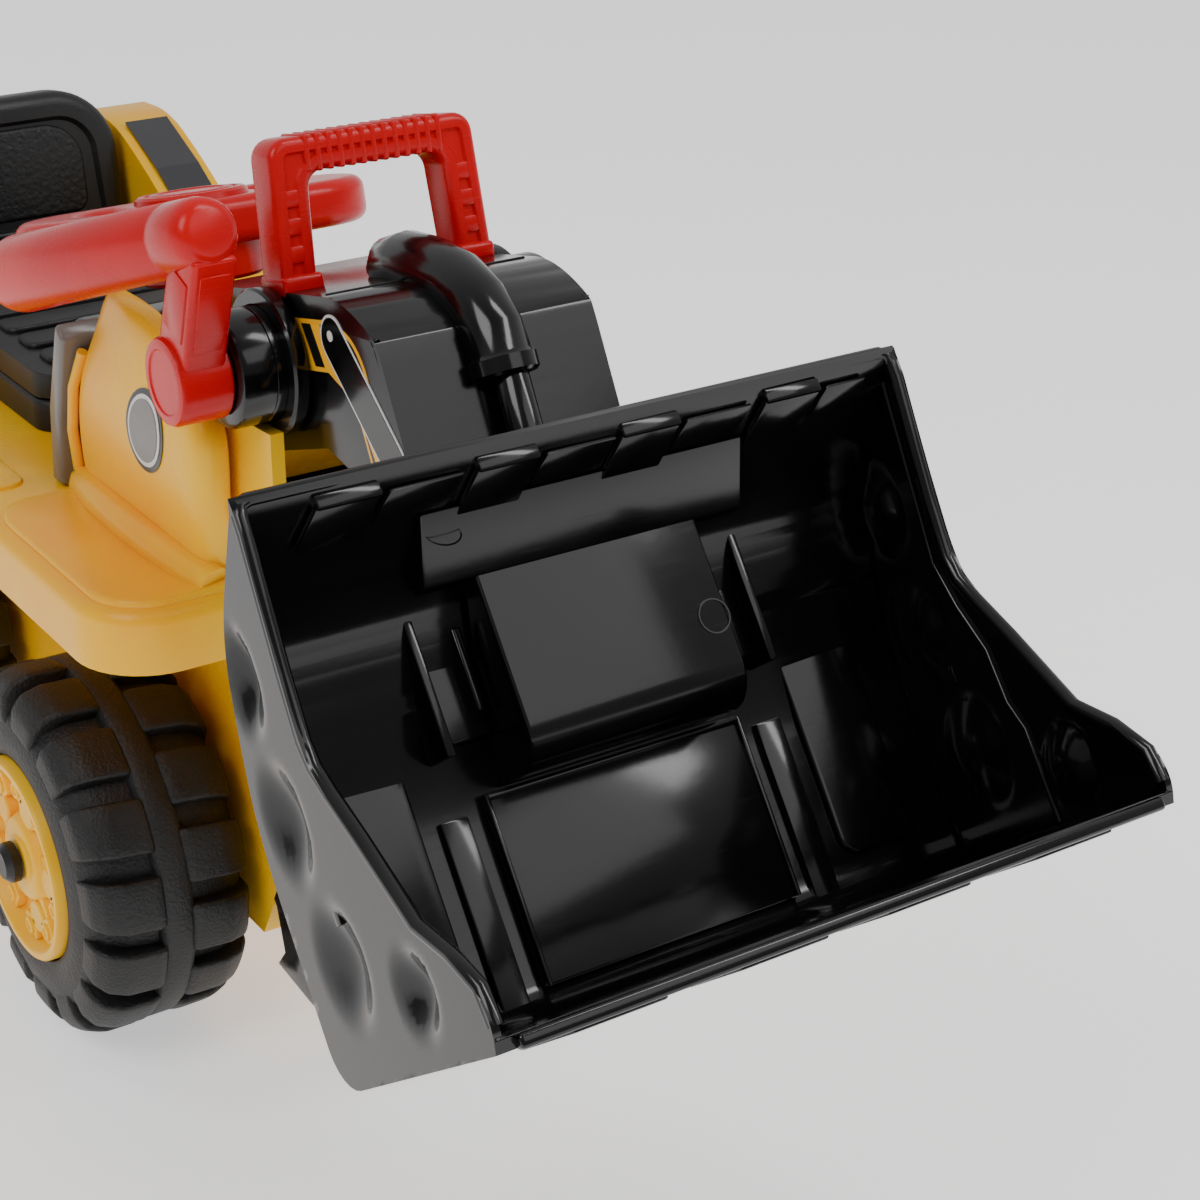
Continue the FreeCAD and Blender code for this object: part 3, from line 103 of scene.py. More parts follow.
def moulded_plastic(name, main, shade, roughness, peel=0.02, flow=0.05, coat=0.0, sheen=0.5):
    """Injection-moulded polypropylene: a smooth skin with faint sink and flow marks, hairline scuffs
    and a slow drift of gloss, which keeps a highlight from looking ruled."""
    made, tree, place = start_material(name)
    drift = add_node(tree, "TexNoise", {"Scale": 14.0, "Detail": 3.0}, {"Vector": (place, "Object")})
    tint = add_node(tree, "MapRange", {1: 0.35, 2: 0.65, 3: 0.0, 4: 1.0}, {0: (drift, "Fac")})
    paint = add_node(tree, "Mix", {6: colour(main), 7: colour(shade)}, {0: (tint, 0)}, data_type="RGBA")
    long_way = add_node(tree, "Mapping", {"Scale": (30.0, 340.0, 900.0), "Rotation": (0.4, 0.2, 0.6)},
                        {"Vector": (place, "Object")})
    scuffs = add_node(tree, "TexNoise", {"Scale": 1.0, "Detail": 4.0, "Roughness": 0.65}, {"Vector": (long_way, 0)})
    worn = add_node(tree, "MapRange", {1: 0.58, 2: 0.8, 3: 0.0, 4: 0.1}, {0: (scuffs, "Fac")})
    base = add_node(tree, "MapRange", {1: 0.3, 2: 0.7, 3: roughness - flow / 2, 4: roughness + flow / 2},
                    {0: (drift, "Fac")})
    rough = add_node(tree, "Math", links={0: (base, 0), 1: (worn, 0)}, operation="ADD")
    skin = add_node(tree, "TexNoise", {"Scale": 260.0, "Detail": 2.0}, {"Vector": (place, "Object")})
    bump = add_node(tree, "Bump", {"Strength": peel, "Distance": 0.0008}, {"Height": (skin, "Fac")})
    shader = add_node(tree, "BsdfPrincipled", {"IOR": 1.49, "Specular IOR Level": sheen, "Coat Weight": coat,
                                               "Coat Roughness": 0.06},
                      {"Base Color": (paint, 2), "Roughness": (rough, 0), "Normal": (bump, 0)})
    end_material(tree, shader)
    return made


def grained_plastic(name, main, dust, roughness, grain, depth):
    """Spark-grained polyethylene or polypropylene: tiny leather-like pits, paler where handled."""
    made, tree, place = start_material(name)
    cells = add_node(tree, "TexVoronoi", {"Scale": grain}, {"Vector": (place, "Object")},
                     feature="SMOOTH_F1")
    fine = add_node(tree, "TexNoise", {"Scale": grain * 1.7, "Detail": 3.0}, {"Vector": (place, "Object")})
    height = add_node(tree, "Math", links={0: (cells, "Distance"), 1: (fine, "Fac")}, operation="ADD")
    patch = add_node(tree, "TexNoise", {"Scale": 22.0, "Detail": 4.0}, {"Vector": (place, "Object")})
    tint = add_node(tree, "MapRange", {1: 0.45, 2: 0.75, 3: 0.0, 4: 1.0}, {0: (patch, "Fac")})
    paint = add_node(tree, "Mix", {6: colour(main), 7: colour(dust)}, {0: (tint, 0)}, data_type="RGBA")
    rough = add_node(tree, "MapRange", {1: 0.3, 2: 0.7, 3: roughness - 0.05, 4: roughness + 0.07},
                     {0: (patch, "Fac")})
    bump = add_node(tree, "Bump", {"Strength": depth, "Distance": 0.0009}, {"Height": (height, 0)})
    shader = add_node(tree, "BsdfPrincipled", {"IOR": 1.5},
                      {"Base Color": (paint, 2), "Roughness": (rough, 0), "Normal": (bump, 0)})
    end_material(tree, shader)
    return made


def drawn_steel(name):
    """Zinc-plated drawn bar: fine rings from the drawing die and a cloudy bright plate."""
    made, tree, place = start_material(name)
    rings = add_node(tree, "Mapping", {"Scale": (1800.0, 60.0, 60.0)}, {"Vector": (place, "Object")})
    lines = add_node(tree, "TexNoise", {"Scale": 1.0, "Detail": 3.0}, {"Vector": (rings, 0)})
    cloud = add_node(tree, "TexNoise", {"Scale": 60.0, "Detail": 4.0}, {"Vector": (place, "Object")})
    paint = add_node(tree, "Mix", {6: colour("#B9BCC0"), 7: colour("#8E9298")}, {0: (cloud, "Fac")},
                     data_type="RGBA")
    rough = add_node(tree, "MapRange", {3: 0.22, 4: 0.42}, {0: (lines, "Fac")})
    bump = add_node(tree, "Bump", {"Strength": 0.08, "Distance": 0.0003}, {"Height": (lines, "Fac")})
    shader = add_node(tree, "BsdfPrincipled", {"Metallic": 1.0},
                      {"Base Color": (paint, 2), "Roughness": (rough, 0), "Normal": (bump, 0)})
    end_material(tree, shader)
    return made


def hazard_sticker(name, way, pitch):
    """Glossy vinyl label with slanting yellow and black bands, printed edge slightly soft."""
    made, tree, place = start_material(name)
    along = add_node(tree, "VectorMath", {1: tuple(part / (pitch * MM) for part in way)},
                     {0: (place, "Object")}, operation="DOT_PRODUCT")
    saw = add_node(tree, "Math", links={0: (along, "Value")}, operation="FRACT")
    band = add_node(tree, "MapRange", {1: 0.49, 2: 0.51, 3: 0.0, 4: 1.0}, {0: (saw, 0)})
    paint = add_node(tree, "Mix", {6: colour("#131314"), 7: colour("#F5B21A")}, {0: (band, 0)},
                     data_type="RGBA")
    film = add_node(tree, "TexNoise", {"Scale": 90.0, "Detail": 2.0}, {"Vector": (place, "Object")})
    rough = add_node(tree, "MapRange", {3: 0.14, 4: 0.3}, {0: (film, "Fac")})
    bump = add_node(tree, "Bump", {"Strength": 0.03, "Distance": 0.0004}, {"Height": (film, "Fac")})
    shader = add_node(tree, "BsdfPrincipled", {"IOR": 1.46},
                      {"Base Color": (paint, 2), "Roughness": (rough, 0), "Normal": (bump, 0)})
    end_material(tree, shader)
    return made


# yellow body mouldings, injection-moulded PP: warm, glossy, slightly deeper where the wall is thick
yellow = moulded_plastic("polypropylene_yellow_gloss", "#FFC600", "#FFB400", 0.28, 0.015, 0.06, 0.0, 0.28)
# wheel discs, the same PP from a plainer tool: lower gloss, so the bosses read by their shade
wheel_yellow = moulded_plastic("polypropylene_yellow_semigloss", "#FFCA00", "#FFB800", 0.34, 0.03, 0.06, 0.0, 0.28)
# bucket and boom, high-gloss black PP: mirrors the lights as long soft lines
gloss_black = moulded_plastic("polypropylene_black_gloss", "#070708", "#0B0B0C", 0.15, 0.02, 0.05)
# seat mouldings, black PP with a fine spark grain that breaks up the light
satin_black = grained_plastic("polypropylene_black_spark_grain", "#0C0C0D", "#131314", 0.44, 900.0, 0.14)
# backrest pad, black PP with a coarse leather-like grain cut into the tool
leather_black = grained_plastic("polypropylene_black_leather_grain", "#0B0B0C", "#111112", 0.5, 330.0, 0.55)
# tyres, blow-moulded PE: coarse grain and a dull bloom
tyre_black = grained_plastic("polyethylene_black_blow_moulded", "#0B0B0B", "#171616", 0.52, 620.0, 0.42)
# lever, carry handle and steering wheel, glossy red PP: the strongest colour on the toy
red = moulded_plastic("polypropylene_red_gloss", "#D0000C", "#BC0008", 0.26, 0.02, 0.06, 0.0, 0.3)
# cheek trims, glossy warm grey PP
grey = moulded_plastic("polypropylene_grey_gloss", "#77736F", "#6B6865", 0.24, 0.02, 0.05)
# flank panels, dark PP under a clear film: a second, harder highlight
dark_panel = moulded_plastic("polypropylene_anthracite_film", "#2A2A2E", "#222226", 0.2, 0.04, 0.08, 0.4)
# tail lamps, clear-gloss red polystyrene
lamp_red = moulded_plastic("polystyrene_red_clear_gloss", "#B80A12", "#A0060C", 0.1, 0.01, 0.03, 0.5)
# screen-printed vinyl labels: pale outlines, yellow outlines, and slanting bands two ways
pale_print = moulded_plastic("vinyl_label_pale", "#D9D9D6", "#CFCFCB", 0.24)
yellow_print = moulded_plastic("vinyl_label_yellow", "#F2B01C", "#E9A714", 0.24)
hazard = hazard_sticker("vinyl_label_hazard_side", (0.0, 0.80, -0.60), 15.0)
hazard_flat = hazard_sticker("vinyl_label_hazard_flat", (0.8, 0.60, 0.0), 16.0)
# axles, pins, screws, washers and spring, zinc-plated steel: small bright points
steel = drawn_steel("zinc_plated_steel")

FINISHES = {"yellow_body": yellow, "wheel_yellow": wheel_yellow, "black_gloss": gloss_black,
            "black_satin": satin_black, "tyre_black": tyre_black, "red_gloss": red, "grey_panel": grey,
            "dark_panel": dark_panel, "steel": steel, "lamp_red": lamp_red}
SLOT_OF = {made.name: slot for slot, made in FINISHES.items()}
SLOT_OF[leather_black.name] = "black_satin"
SLOT_OF[yellow_print.name] = "yellow_body"
for label in (pale_print, hazard, hazard_flat):
    SLOT_OF[label.name] = "black_gloss"


# ------------------------------------------------------------------ ways of making a piece
def rotation(axis, degrees):
    return Matrix.Rotation(math.radians(degrees), 4, axis)


def moved(x=0.0, y=0.0, z=0.0):
    return Matrix.Translation((x, y, z))


def join(mesh, part, matrix=None):
    """Adds one mesh to another, placed by the matrix."""
    if matrix is not None:
        part.transform(matrix)
    data = bpy.data.meshes.new("joined")
    part.to_mesh(data)
    part.free()
    mesh.from_mesh(data)
    bpy.data.meshes.remove(data)
    return mesh


def joined(*parts):
    whole = bmesh.new()
    for part in parts:
        join(whole, part)
    return whole


def soften(mesh, size, steps=3, wanted=lambda point: True, sharper=35.0):
    """Rounds the sharp edges whose middle is wanted."""
    mesh.normal_update()
    edges = [edge for edge in mesh.edges if len(edge.link_faces) == 2
             and edge.calc_face_angle(0.0) > math.radians(sharper)
             and wanted((edge.verts[0].co + edge.verts[1].co) / 2)]
    if edges:
        bmesh.ops.bevel(mesh, geom=edges, offset=size, offset_type="OFFSET", segments=steps, profile=0.5,
                        affect="EDGES", material=-1, clamp_overlap=True)
    return mesh


def flat(points, corners=None, steps=5, holes=()):
    """A flat outline, with the numbered corners rounded and any holes left open."""
    mesh = bmesh.new()
    ring = [mesh.verts.new(point) for point in points]
    mesh.faces.new(ring)
    for index, radius in (corners or {}).items():
        bmesh.ops.bevel(mesh, geom=[ring[index]], offset=radius, offset_type="OFFSET", segments=steps,
                        profile=0.5, affect="VERTICES", material=-1)
    if holes:
        bmesh.ops.delete(mesh, geom=mesh.faces[:], context="FACES_ONLY")
        for hole in holes:
            loop = [mesh.verts.new(point) for point in hole]
            for first, second in zip(loop, loop[1:] + loop[:1]):
                mesh.edges.new((first, second))
        bmesh.ops.triangle_fill(mesh, edges=mesh.edges[:], use_beauty=True)
    return mesh


def pulled(mesh, way):
    """A flat shape pulled along a way into a solid."""
    result = bmesh.ops.extrude_face_region(mesh, geom=mesh.faces[:])["geom"]
    far = [item for item in result if isinstance(item, bmesh.types.BMVert)]
    bmesh.ops.translate(mesh, verts=far, vec=way)
    bmesh.ops.recalc_face_normals(mesh, faces=mesh.faces[:])
    return mesh


def side_plate(outline, x_low, x_high, corners=None, edge=0.0, steps=3, wanted=lambda point: True, curve=5):
    """Solid from a (y, z) outline seen from the side."""
    mesh = pulled(flat([(x_low, y, z) for y, z in outline], corners, curve), (x_high - x_low, 0, 0))
    return soften(mesh, edge, steps, wanted) if edge else mesh


def top_plate(outline, z_low, z_high, corners=None, edge=0.0, steps=3, wanted=lambda point: True, holes=(),
              curve=8):
    """Solid from an (x, y) outline seen from above."""
    mesh = pulled(flat([(x, y, z_low) for x, y in outline], corners, curve,
                       [[(x, y, z_low) for x, y in hole] for hole in holes]), (0, 0, z_high - z_low))
    return soften(mesh, edge, steps, wanted) if edge else mesh


def box(low, high, edge=1.0, steps=2):
    mesh = bmesh.new()
    size = [b - a for a, b in zip(low, high)]
    middle = [(a + b) / 2 for a, b in zip(low, high)]
    bmesh.ops.create_cube(mesh, size=1.0, matrix=Matrix.Translation(middle) @ Matrix.Diagonal((*size, 1.0)))
    return soften(mesh, edge, steps) if edge else mesh


def turned(outline, steps=64, closed=True):
    """Turned about the X axis from (x, radius) points."""
    mesh = bmesh.new()
    ring = [mesh.verts.new((x, 0.0, radius)) for x, radius in outline]
    pairs = list(zip(ring, ring[1:])) + ([(ring[-1], ring[0])] if closed else [])
    edges = [mesh.edges.new(pair) for pair in pairs]
    bmesh.ops.spin(mesh, geom=ring + edges, cent=(0, 0, 0), axis=(1, 0, 0), dvec=(0, 0, 0),
                   angle=math.tau, steps=steps, use_merge=True, use_duplicate=False)
    bmesh.ops.remove_doubles(mesh, verts=mesh.verts[:], dist=0.002)
    bmesh.ops.recalc_face_normals(mesh, faces=mesh.faces[:])
    return mesh


def lofted(rings):
    """A skin through rings of points, closed at both ends."""
    mesh = bmesh.new()
    loops = []
    for ring in rings:
        dots = [mesh.verts.new(point) for point in ring]
        loops.append([mesh.edges.new((dots[i - 1], dots[i])) for i in range(len(dots))])
    for lower, upper in zip(loops, loops[1:]):
        bmesh.ops.bridge_loops(mesh, edges=lower + upper)
    for end in (loops[0], loops[-1]):
        bmesh.ops.contextual_create(mesh, geom=end)
    bmesh.ops.recalc_face_normals(mesh, faces=mesh.faces[:])
    return mesh


def copies_round(mesh, count):
    """Repeats what is in the mesh round the X axis."""
    bmesh.ops.spin(mesh, geom=mesh.verts[:] + mesh.edges[:] + mesh.faces[:], cent=(0, 0, 0), axis=(1, 0, 0),
                   dvec=(0, 0, 0), angle=math.tau * (count - 1) / count, steps=count - 1, use_duplicate=True)
    return mesh


def show(name, mesh, material, body, stands_for=(), smooth=40.0, subdivide=0):
    """Finishes a piece: scales it to metres, smooths it and lets it ride on its body."""
    bmesh.ops.scale(mesh, vec=(MM, MM, MM), verts=mesh.verts[:])
    bmesh.ops.recalc_face_normals(mesh, faces=mesh.faces[:])
    mesh.edges.index_update()
    open_edges = [edge.index for edge in mesh.edges if edge.is_boundary]
    data = bpy.data.meshes.new(name)
    mesh.to_mesh(data)
    mesh.free()
    piece = bpy.data.objects.new(name, data)
    scene.collection.objects.link(piece)
    data.materials.append(material)
    data.shade_smooth()
    data.set_sharp_from_angle(angle=math.radians(smooth))
    for index in open_edges:
        data.edges[index].use_edge_sharp = True
    if subdivide:
        rounder = piece.modifiers.new("rounder", "SUBSURF")
        rounder.levels = rounder.render_levels = subdivide
    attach(piece, body)
    if stands_for:
        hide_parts(*stands_for)
    return piece


def walled(piece, thickness):
    """Gives an open skin its moulded wall, inwards."""
    wall = piece.modifiers.new("wall", "SOLIDIFY")
    wall.thickness = thickness * MM
    wall.offset = -1.0
    return piece


def laid_on(piece, sheet, side, lift):
    """Lays a flat sheet sideways onto a finished piece, a lift above its skin."""
    bpy.context.view_layer.update()
    skin = BVHTree.FromObject(piece, bpy.context.evaluated_depsgraph_get())
    for axis, low, high in ((1, -90, 0), (2, 300, 370)):
        for step in range(low, high, 3):
            point, normal = Vector((0, 0, 0)), Vector((0, 0, 0))
            point[axis], normal[axis] = step, 1.0
            bmesh.ops.bisect_plane(sheet, geom=sheet.verts[:] + sheet.edges[:] + sheet.faces[:], dist=0.01,
                                   plane_co=point, plane_no=normal)
    for vert in sheet.verts:
        spot, normal, *_ = skin.ray_cast(vert.co * MM, Vector((-side, 0, 0)))
        if spot is not None:
            vert.co = spot / MM + normal * lift
    return sheet


def tube(name, path, radius, material, body, closed=False):
    """A round bead along a path."""
    data = bpy.data.curves.new(name, "CURVE")
    data.dimensions = "3D"
    run = data.splines.new("POLY")
    run.points.add(len(path) - 1)
    for point, place in zip(run.points, path):
        point.co = (*(Vector(place) * MM), 1.0)
    run.use_cyclic_u = closed
    data.bevel_depth = radius * MM
    data.bevel_resolution = 3
    data.use_fill_caps = True
    piece = bpy.data.objects.new(name, data)
    scene.collection.objects.link(piece)
    data.materials.append(material)
    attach(piece, body)
    return piece


def limits(node):
    """Lowest and highest corner of a CAD node, in millimetres."""
    low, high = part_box(node)
    return Vector(low) / MM, Vector(high) / MM


def middle(node):
    low, high = limits(node)
    return (low + high) / 2


# ------------------------------------------------------------------ wheels
LUGS = 15
TREAD_RADIUS = 91.4


def tyre_mesh():
    """Blow-moulded tyre: drum with a middle rib, and pillow-shaped lugs set half a step apart."""
    drum = turned([(0.4, 30), (0.4, 60), (3, 72), (8, 79.5), (18, 83.5), (32.5, 84.5), (34, 88.6), (36.5, 90.2),
                   (46.5, 90.2), (49, 88.6), (50.5, 84.5), (64, 83.5), (74, 79.5), (80, 72), (82.5, 62),
                   (82.6, 56), (81, 51.6), (60, 51.6), (60, 30)], steps=120)
    whole = joined(drum)
    for half, outline in enumerate((
            [(36, 80), (36, 89.2), (32, 91.2), (16, 91.0), (7, 87.5), (2.2, 80.5), (1.2, 70.5), (4, 65), (16, 66)],
            [(47, 80), (47, 89.2), (51, 91.2), (67, 91.0), (76, 87.5), (80.8, 80.5), (81.8, 70.5), (79, 65),
             (67, 66)])):
        lug = pulled(flat([(x, -13.4, z) for x, z in outline]), (0, 26.8, 0))
        soften(lug, 3.6, 3, sharper=18.0)
        bmesh.ops.subdivide_edges(lug, edges=[e for e in lug.edges if abs(e.verts[0].co.y - e.verts[1].co.y) > 15],
                                  cuts=3, use_grid_fill=True)
        for vert in lug.verts:
            sweep = ((vert.co.x - 41.5) / 41.5) ** 2 * (5.0 if half else -5.0)
            turn = (vert.co.y + sweep) / TREAD_RADIUS
            far = min(vert.co.z, TREAD_RADIUS)
            vert.co.y, vert.co.z = far * math.sin(turn), far * math.cos(turn)
        lug.transform(rotation("X", 180.0 / LUGS * half))
        join(whole, copies_round(lug, LUGS))
    return whole


def hub_mesh():
    """Wheel disc: raised rim ring, dished web, big plain bosses, bolt pads and a middle cap."""
    disc = turned([(20, 5.3), (20, 50.3), (84.4, 50.3), (85.8, 49.2), (85.8, 46.4), (84.6, 45.2), (78.5, 43.8),
                   (76.5, 41.5), (76, 24), (77.5, 22.4), (82.2, 20.5), (83.4, 18.8), (83.4, 12.5), (84.6, 11.6),
                   (84.9, 6.5), (84.2, 5.3)], steps=96)
    whole = joined(disc)
    pad = soften(pulled(flat([(75, y, z) for y, z in ((-6.2, 31), (6.2, 31), (6.2, 43.2), (-6.2, 43.2))],
                             {0: 2, 1: 2, 2: 2, 3: 2}), (6.6, 0, 0)), 0.9, 2)
    join(pad, turned([(80, 0), (80, 4.4), (82.6, 4.2), (82.9, 3.8), (82.9, 2.6), (82.2, 2.2), (82.2, 0)],
                     steps=20, closed=False), moved(0, 0, 37))
    join(whole, copies_round(pad, 10))
    boss = turned([(74, 0), (74, 8.4), (80.8, 8.2), (81.6, 7.4), (81.6, 0)], steps=28, closed=False)
    boss.transform(moved(0, 0, 29.5))
    boss.transform(rotation("X", 18))
    join(whole, copies_round(boss, 5))
    link = box((75, -3.6, 20), (80.2, 3.6, 34), 1.0)
    join(whole, copies_round(link, 5))
    return whole


for end in ("front", "rear"):
    for side, sign in (("right", -1), ("left", 1)):
        node = f"tyre_{end}_{side}"
        body = f"wheel_{end}_{side}"
        centre = middle(node)
        low, high = limits(node)
        inner = min(abs(low.x), abs(high.x))
        place = moved(0, centre.y, centre.z) @ Matrix.Diagonal((sign, 1, 1, 1)) @ moved(inner, 0, 0)
        for label, mesh, material in ((node, tyre_mesh(), tyre_black), (f"hub_{end}_{side}", hub_mesh(), wheel_yellow)):
            mesh.transform(place)
            show(f"look_{label}", mesh, material, body, (label,))

# ------------------------------------------------------------------ bucket, drawn level about its pivot
joint_place = {joint["name"]: Vector(joint["pos_m"]) / MM for joint in frame["record"]["behaviour"]["joints"]
               if "pos_m" in joint}
bucket_pivot = joint_place["bucket_tilt"]
CURL = -36.5
LEVEL = moved(*bucket_pivot) @ rotation("X", CURL)
WALL = 3.0
HALF = 144.4

FRONT_EDGE = [(-50.5, 98.3), (-50.5, 84.5), (-46.2, 57.5), (-41.2, 8), (-49.7, -10.5), (-82.2, -62), (-100, -74),
              (-113, -84), (-115.8, -97)]
shell = side_plate([(-46.5, 92.4), (-21, 71.8), (-5, 56.8), (9, 25.3), (19.7, -12), (19.7, -105.7), (-112, -105.7)]
                   + FRONT_EDGE[::-1], -HALF, HALF,
                   {1: 9, 2: 14, 3: 22, 4: 22, 5: 17, 7: 5, 8: 5, 11: 14, 12: 16, 13: 22}, curve=6)
shell.normal_update()
soften(shell, 11.0, 5, lambda p: abs(abs(p.x) - HALF) < 0.1 and (p.y > -24 + max(0.0, (p.z - 60) * -0.2)
                                                               and p.z < 76 or p.z < -104 and p.y > -80))
shell.normal_update()


def is_mouth(face):
    """Faces across the open front, from the top rim down to the lip."""
    spot = face.calc_center_median()
    wide = max(v.co.x for v in face.verts) - min(v.co.x for v in face.verts)
    return wide > HALF and face.normal.y < -0.25 and spot.z > -104 and spot.y < -38


bmesh.ops.delete(shell, geom=[face for face in shell.faces if is_mouth(face)], context="FACES")
for axis, start, stop, gap in ((1, -110, 18, 3), (2, -104, 96, 3)):
    spot = start
    while spot < stop:
        point, normal = Vector((0, 0, 0)), Vector((0, 0, 0))
        point[axis], normal[axis] = spot, 1.0
        walls = [face for face in shell.faces if abs(face.normal.x) > 0.98]
        cut_geom = walls + list({edge for face in walls for edge in face.edges}) + \
            list({vert for face in walls for vert in face.verts})
        bmesh.ops.bisect_plane(shell, geom=cut_geom, dist=0.01, plane_co=point, plane_no=normal)
        shell.normal_update()
        spot += gap
bmesh.ops.remove_doubles(shell, verts=shell.verts[:], dist=0.9)
bmesh.ops.dissolve_degenerate(shell, dist=0.05, edges=shell.edges[:])
SCOOPS = [(-9, 43, 17, 24), (-8, -10, 19, 25), (-17, -63, 21, 25), (-68, -80, 16, 17)]
shell.normal_update()
sides = [vert for vert in shell.verts if abs(abs(vert.co.x) - HALF) < 0.2]
border = [vert.co.copy() for vert in sides
          if vert.is_boundary or any(abs(face.normal.x) < 0.98 for face in vert.link_faces)]
FADE = 10.0
for vert in sides:
    depth = 0.0
    for y, z, reach_y, reach_z in SCOOPS:
        near = ((vert.co.y - y) / reach_y) ** 2 + ((vert.co.z - z) / reach_z) ** 2
        depth += 7.0 * max(0.0, 1 - near) ** 1.7
    if depth:
        fade = min(1.0, min((vert.co - spot).length for spot in border) / FADE)
        vert.co.x -= math.copysign(depth * fade * fade * (3 - 2 * fade), vert.co.x)
bmesh.ops.bisect_plane(shell, geom=shell.verts[:] + shell.edges[:] + shell.faces[:], dist=0.01, plane_co=(0, 0, 0),
                       plane_no=(1, 0, 0), clear_inner=True)
bmesh.ops.mirror(shell, geom=shell.verts[:] + shell.edges[:] + shell.faces[:], matrix=Matrix.Identity(4),
                 merge_dist=0.01, axis="X")
bmesh.ops.recalc_face_normals(shell, faces=shell.faces[:])
bmesh.ops.triangulate(shell, faces=[face for face in shell.faces if len(face.verts) > 4])
shell.transform(LEVEL)
walled(show("bucket_skin", shell, gloss_black, "bucket", ("bucket_shell",), smooth=48), WALL)

RIM = 2.7
rim_line = [(-115.6 + RIM, -97), (-111.5, -84.6), (-99, -72), (-81, -60), (-60, -26.5), (-47.5, -8), (-41.5, 2), (-39.4, 12),
            (-41.5, 36), (-44.4, 57.5), (-48.2, 84.5), (-48.2, 91)]
rim_path = [LEVEL @ Vector((-HALF + RIM, y, z)) for y, z in rim_line]
rim_path += [LEVEL @ Vector((-HALF + RIM + 1.2, -48.2, 94.6)), LEVEL @ Vector((-HALF + RIM + 4.5, -48.2, 95.8))]
rim_path += [LEVEL @ Vector((HALF - RIM - 4.5, -48.2, 95.8)), LEVEL @ Vector((HALF - RIM - 1.2, -48.2, 94.6))]
rim_path += [LEVEL @ Vector((HALF - RIM, y, z)) for y, z in rim_line[::-1]]
tube("bucket_rim", rim_path, RIM + 0.35, gloss_black, "bucket")
for side in (-1, 1):
    tube("rim_step", [LEVEL @ Vector((side * (HALF - WALL - 0.4), y, z)) for y, z in (
        (-41, 88), (-37, 57), (-31, 12), (-36, -8), (-44, -28), (-45, -50), (-50, -62), (-50, -100))],
        1.3, gloss_black, "bucket")

SLOPE = Vector((0.0, 0.773, -0.635))
OUTWARD = Vector((0.0, -0.635, -0.773))
parts = []
for x in (-101.0, -36.0, 26.0, 92.0):
    for start, end, shift, drop, rise in ((-13, 13, -7, 17.5, 2.0), (17, 47, -7, 13.0, 1.2)):
        if x + end > 128:
            end = 128 - x
        corner = Vector((0, -47.2, 89.0))
        outline = [corner + Vector((x + start, 0, 0)), corner + Vector((x + end, 0, 0)),
                   corner + Vector((x + end + shift, 0, 0)) + SLOPE * drop,
                   corner + Vector((x + start + shift, 0, 0)) + SLOPE * drop]
        parts.append(soften(pulled(flat(outline), OUTWARD * (rise + 0.8)), 0.7, 2))
    parts.append(box((x - 13, -50.2, 86.4), (x + 13, -45, 92), 1.0))
    lip = [(x - 12, -112), (x + 14, -112), (x + 6, -97), (x - 20, -97)]
    parts.append(top_plate(lip, -103.4, -101.6, edge=0.6, steps=2))
    under = [(x - 16, -113.5), (x + 20, -113.5), (x + 8, -96), (x - 28, -96)]
    parts.append(top_plate(under, -107.6, -105.2, edge=0.7, steps=2))
parts.append(box((-HALF + 2, -48.5, 92.4), (HALF - 2, -43.5, 97.6), 1.6, 3))
parts.append(box((-137, -116.6, -106.6), (137, -111, -101.5), 1.5, 3))
details = joined(*parts)
for side in (-1, 1):
    inner, outer = sorted((side * 86.0, side * 122.0))
    panel = [(inner, 24), (outer, 24), (outer, -86), (inner, -86)]
    join(details, soften(pulled(flat([(x, 17.4, z) for x, z in panel], {0: 8, 1: 8, 2: 8, 3: 8}),
                                (0, -2.6, 0)), 1.2, 3))
    inner, outer = sorted((side * 66.0, side * 78.0))
    join(details, box((inner, 14.2, -99), (outer, 18, -25), 1.0))
    inner, outer = sorted((side * 49.8, side * 72.0))
    join(details, box((inner, 4, 0), (outer, 17.5, 50), 2.0, 3))
    inner, outer = sorted((side * 52.0, side * 56.0))
    join(details, box((inner, -1.5, 9), (outer, 8, 42), 1.2, 3))
    inner, outer = sorted((side * 71.0, side * 75.0))
    join(details, box((inner, -4, -4), (outer, 17, 53), 1.0, 2))
    for y, z in ((-20, -36), (-23, -50)):
        join(details, box((side * (HALF - WALL) - 1.4, y, z), (side * (HALF - WALL) + 0.6, y + 5, z + 8), 0.6))
details.transform(LEVEL)
show("bucket_details", details, gloss_black, "bucket", smooth=32)

neck = side_plate([(-20.5, 66), (-20.5, -18.6), (16.4, -18.6), (16.4, -14), (5, 24), (-9.2, 54)], -49, 49, {1: 17}, 2.2, 3,
                  lambda p: abs(p.x) > 48.5 and p.y < 0 and p.z < 60, curve=10)
head = side_plate([(-20.6, 54.8), (-37.4, 79.2), (-34, 78), (-23, 69), (-12, 57.5), (-12, 54.8)], -71, 71,
                  {}, 1.8, 3, lambda p: p.y < -20 or abs(p.x) > 70)
housing = joined(neck, head)
for x, z in ((-62, 71.5), (42.5, 17)):
    mark = turned([(0, 6.4), (0.35, 6.4), (0.35, 7.0), (0, 7.0)], steps=40)
    lean = rotation("X", -34.6) if z > 50 else Matrix.Identity(4)
    spot = moved(x, -32.0, z) if z > 50 else moved(x, -20.5, z)
    join(housing, mark, spot @ lean @ rotation("Z", -90))
housing.transform(LEVEL)
show("bucket_hinge_box", housing, gloss_black, "bucket", ("bucket_housing",), smooth=32)

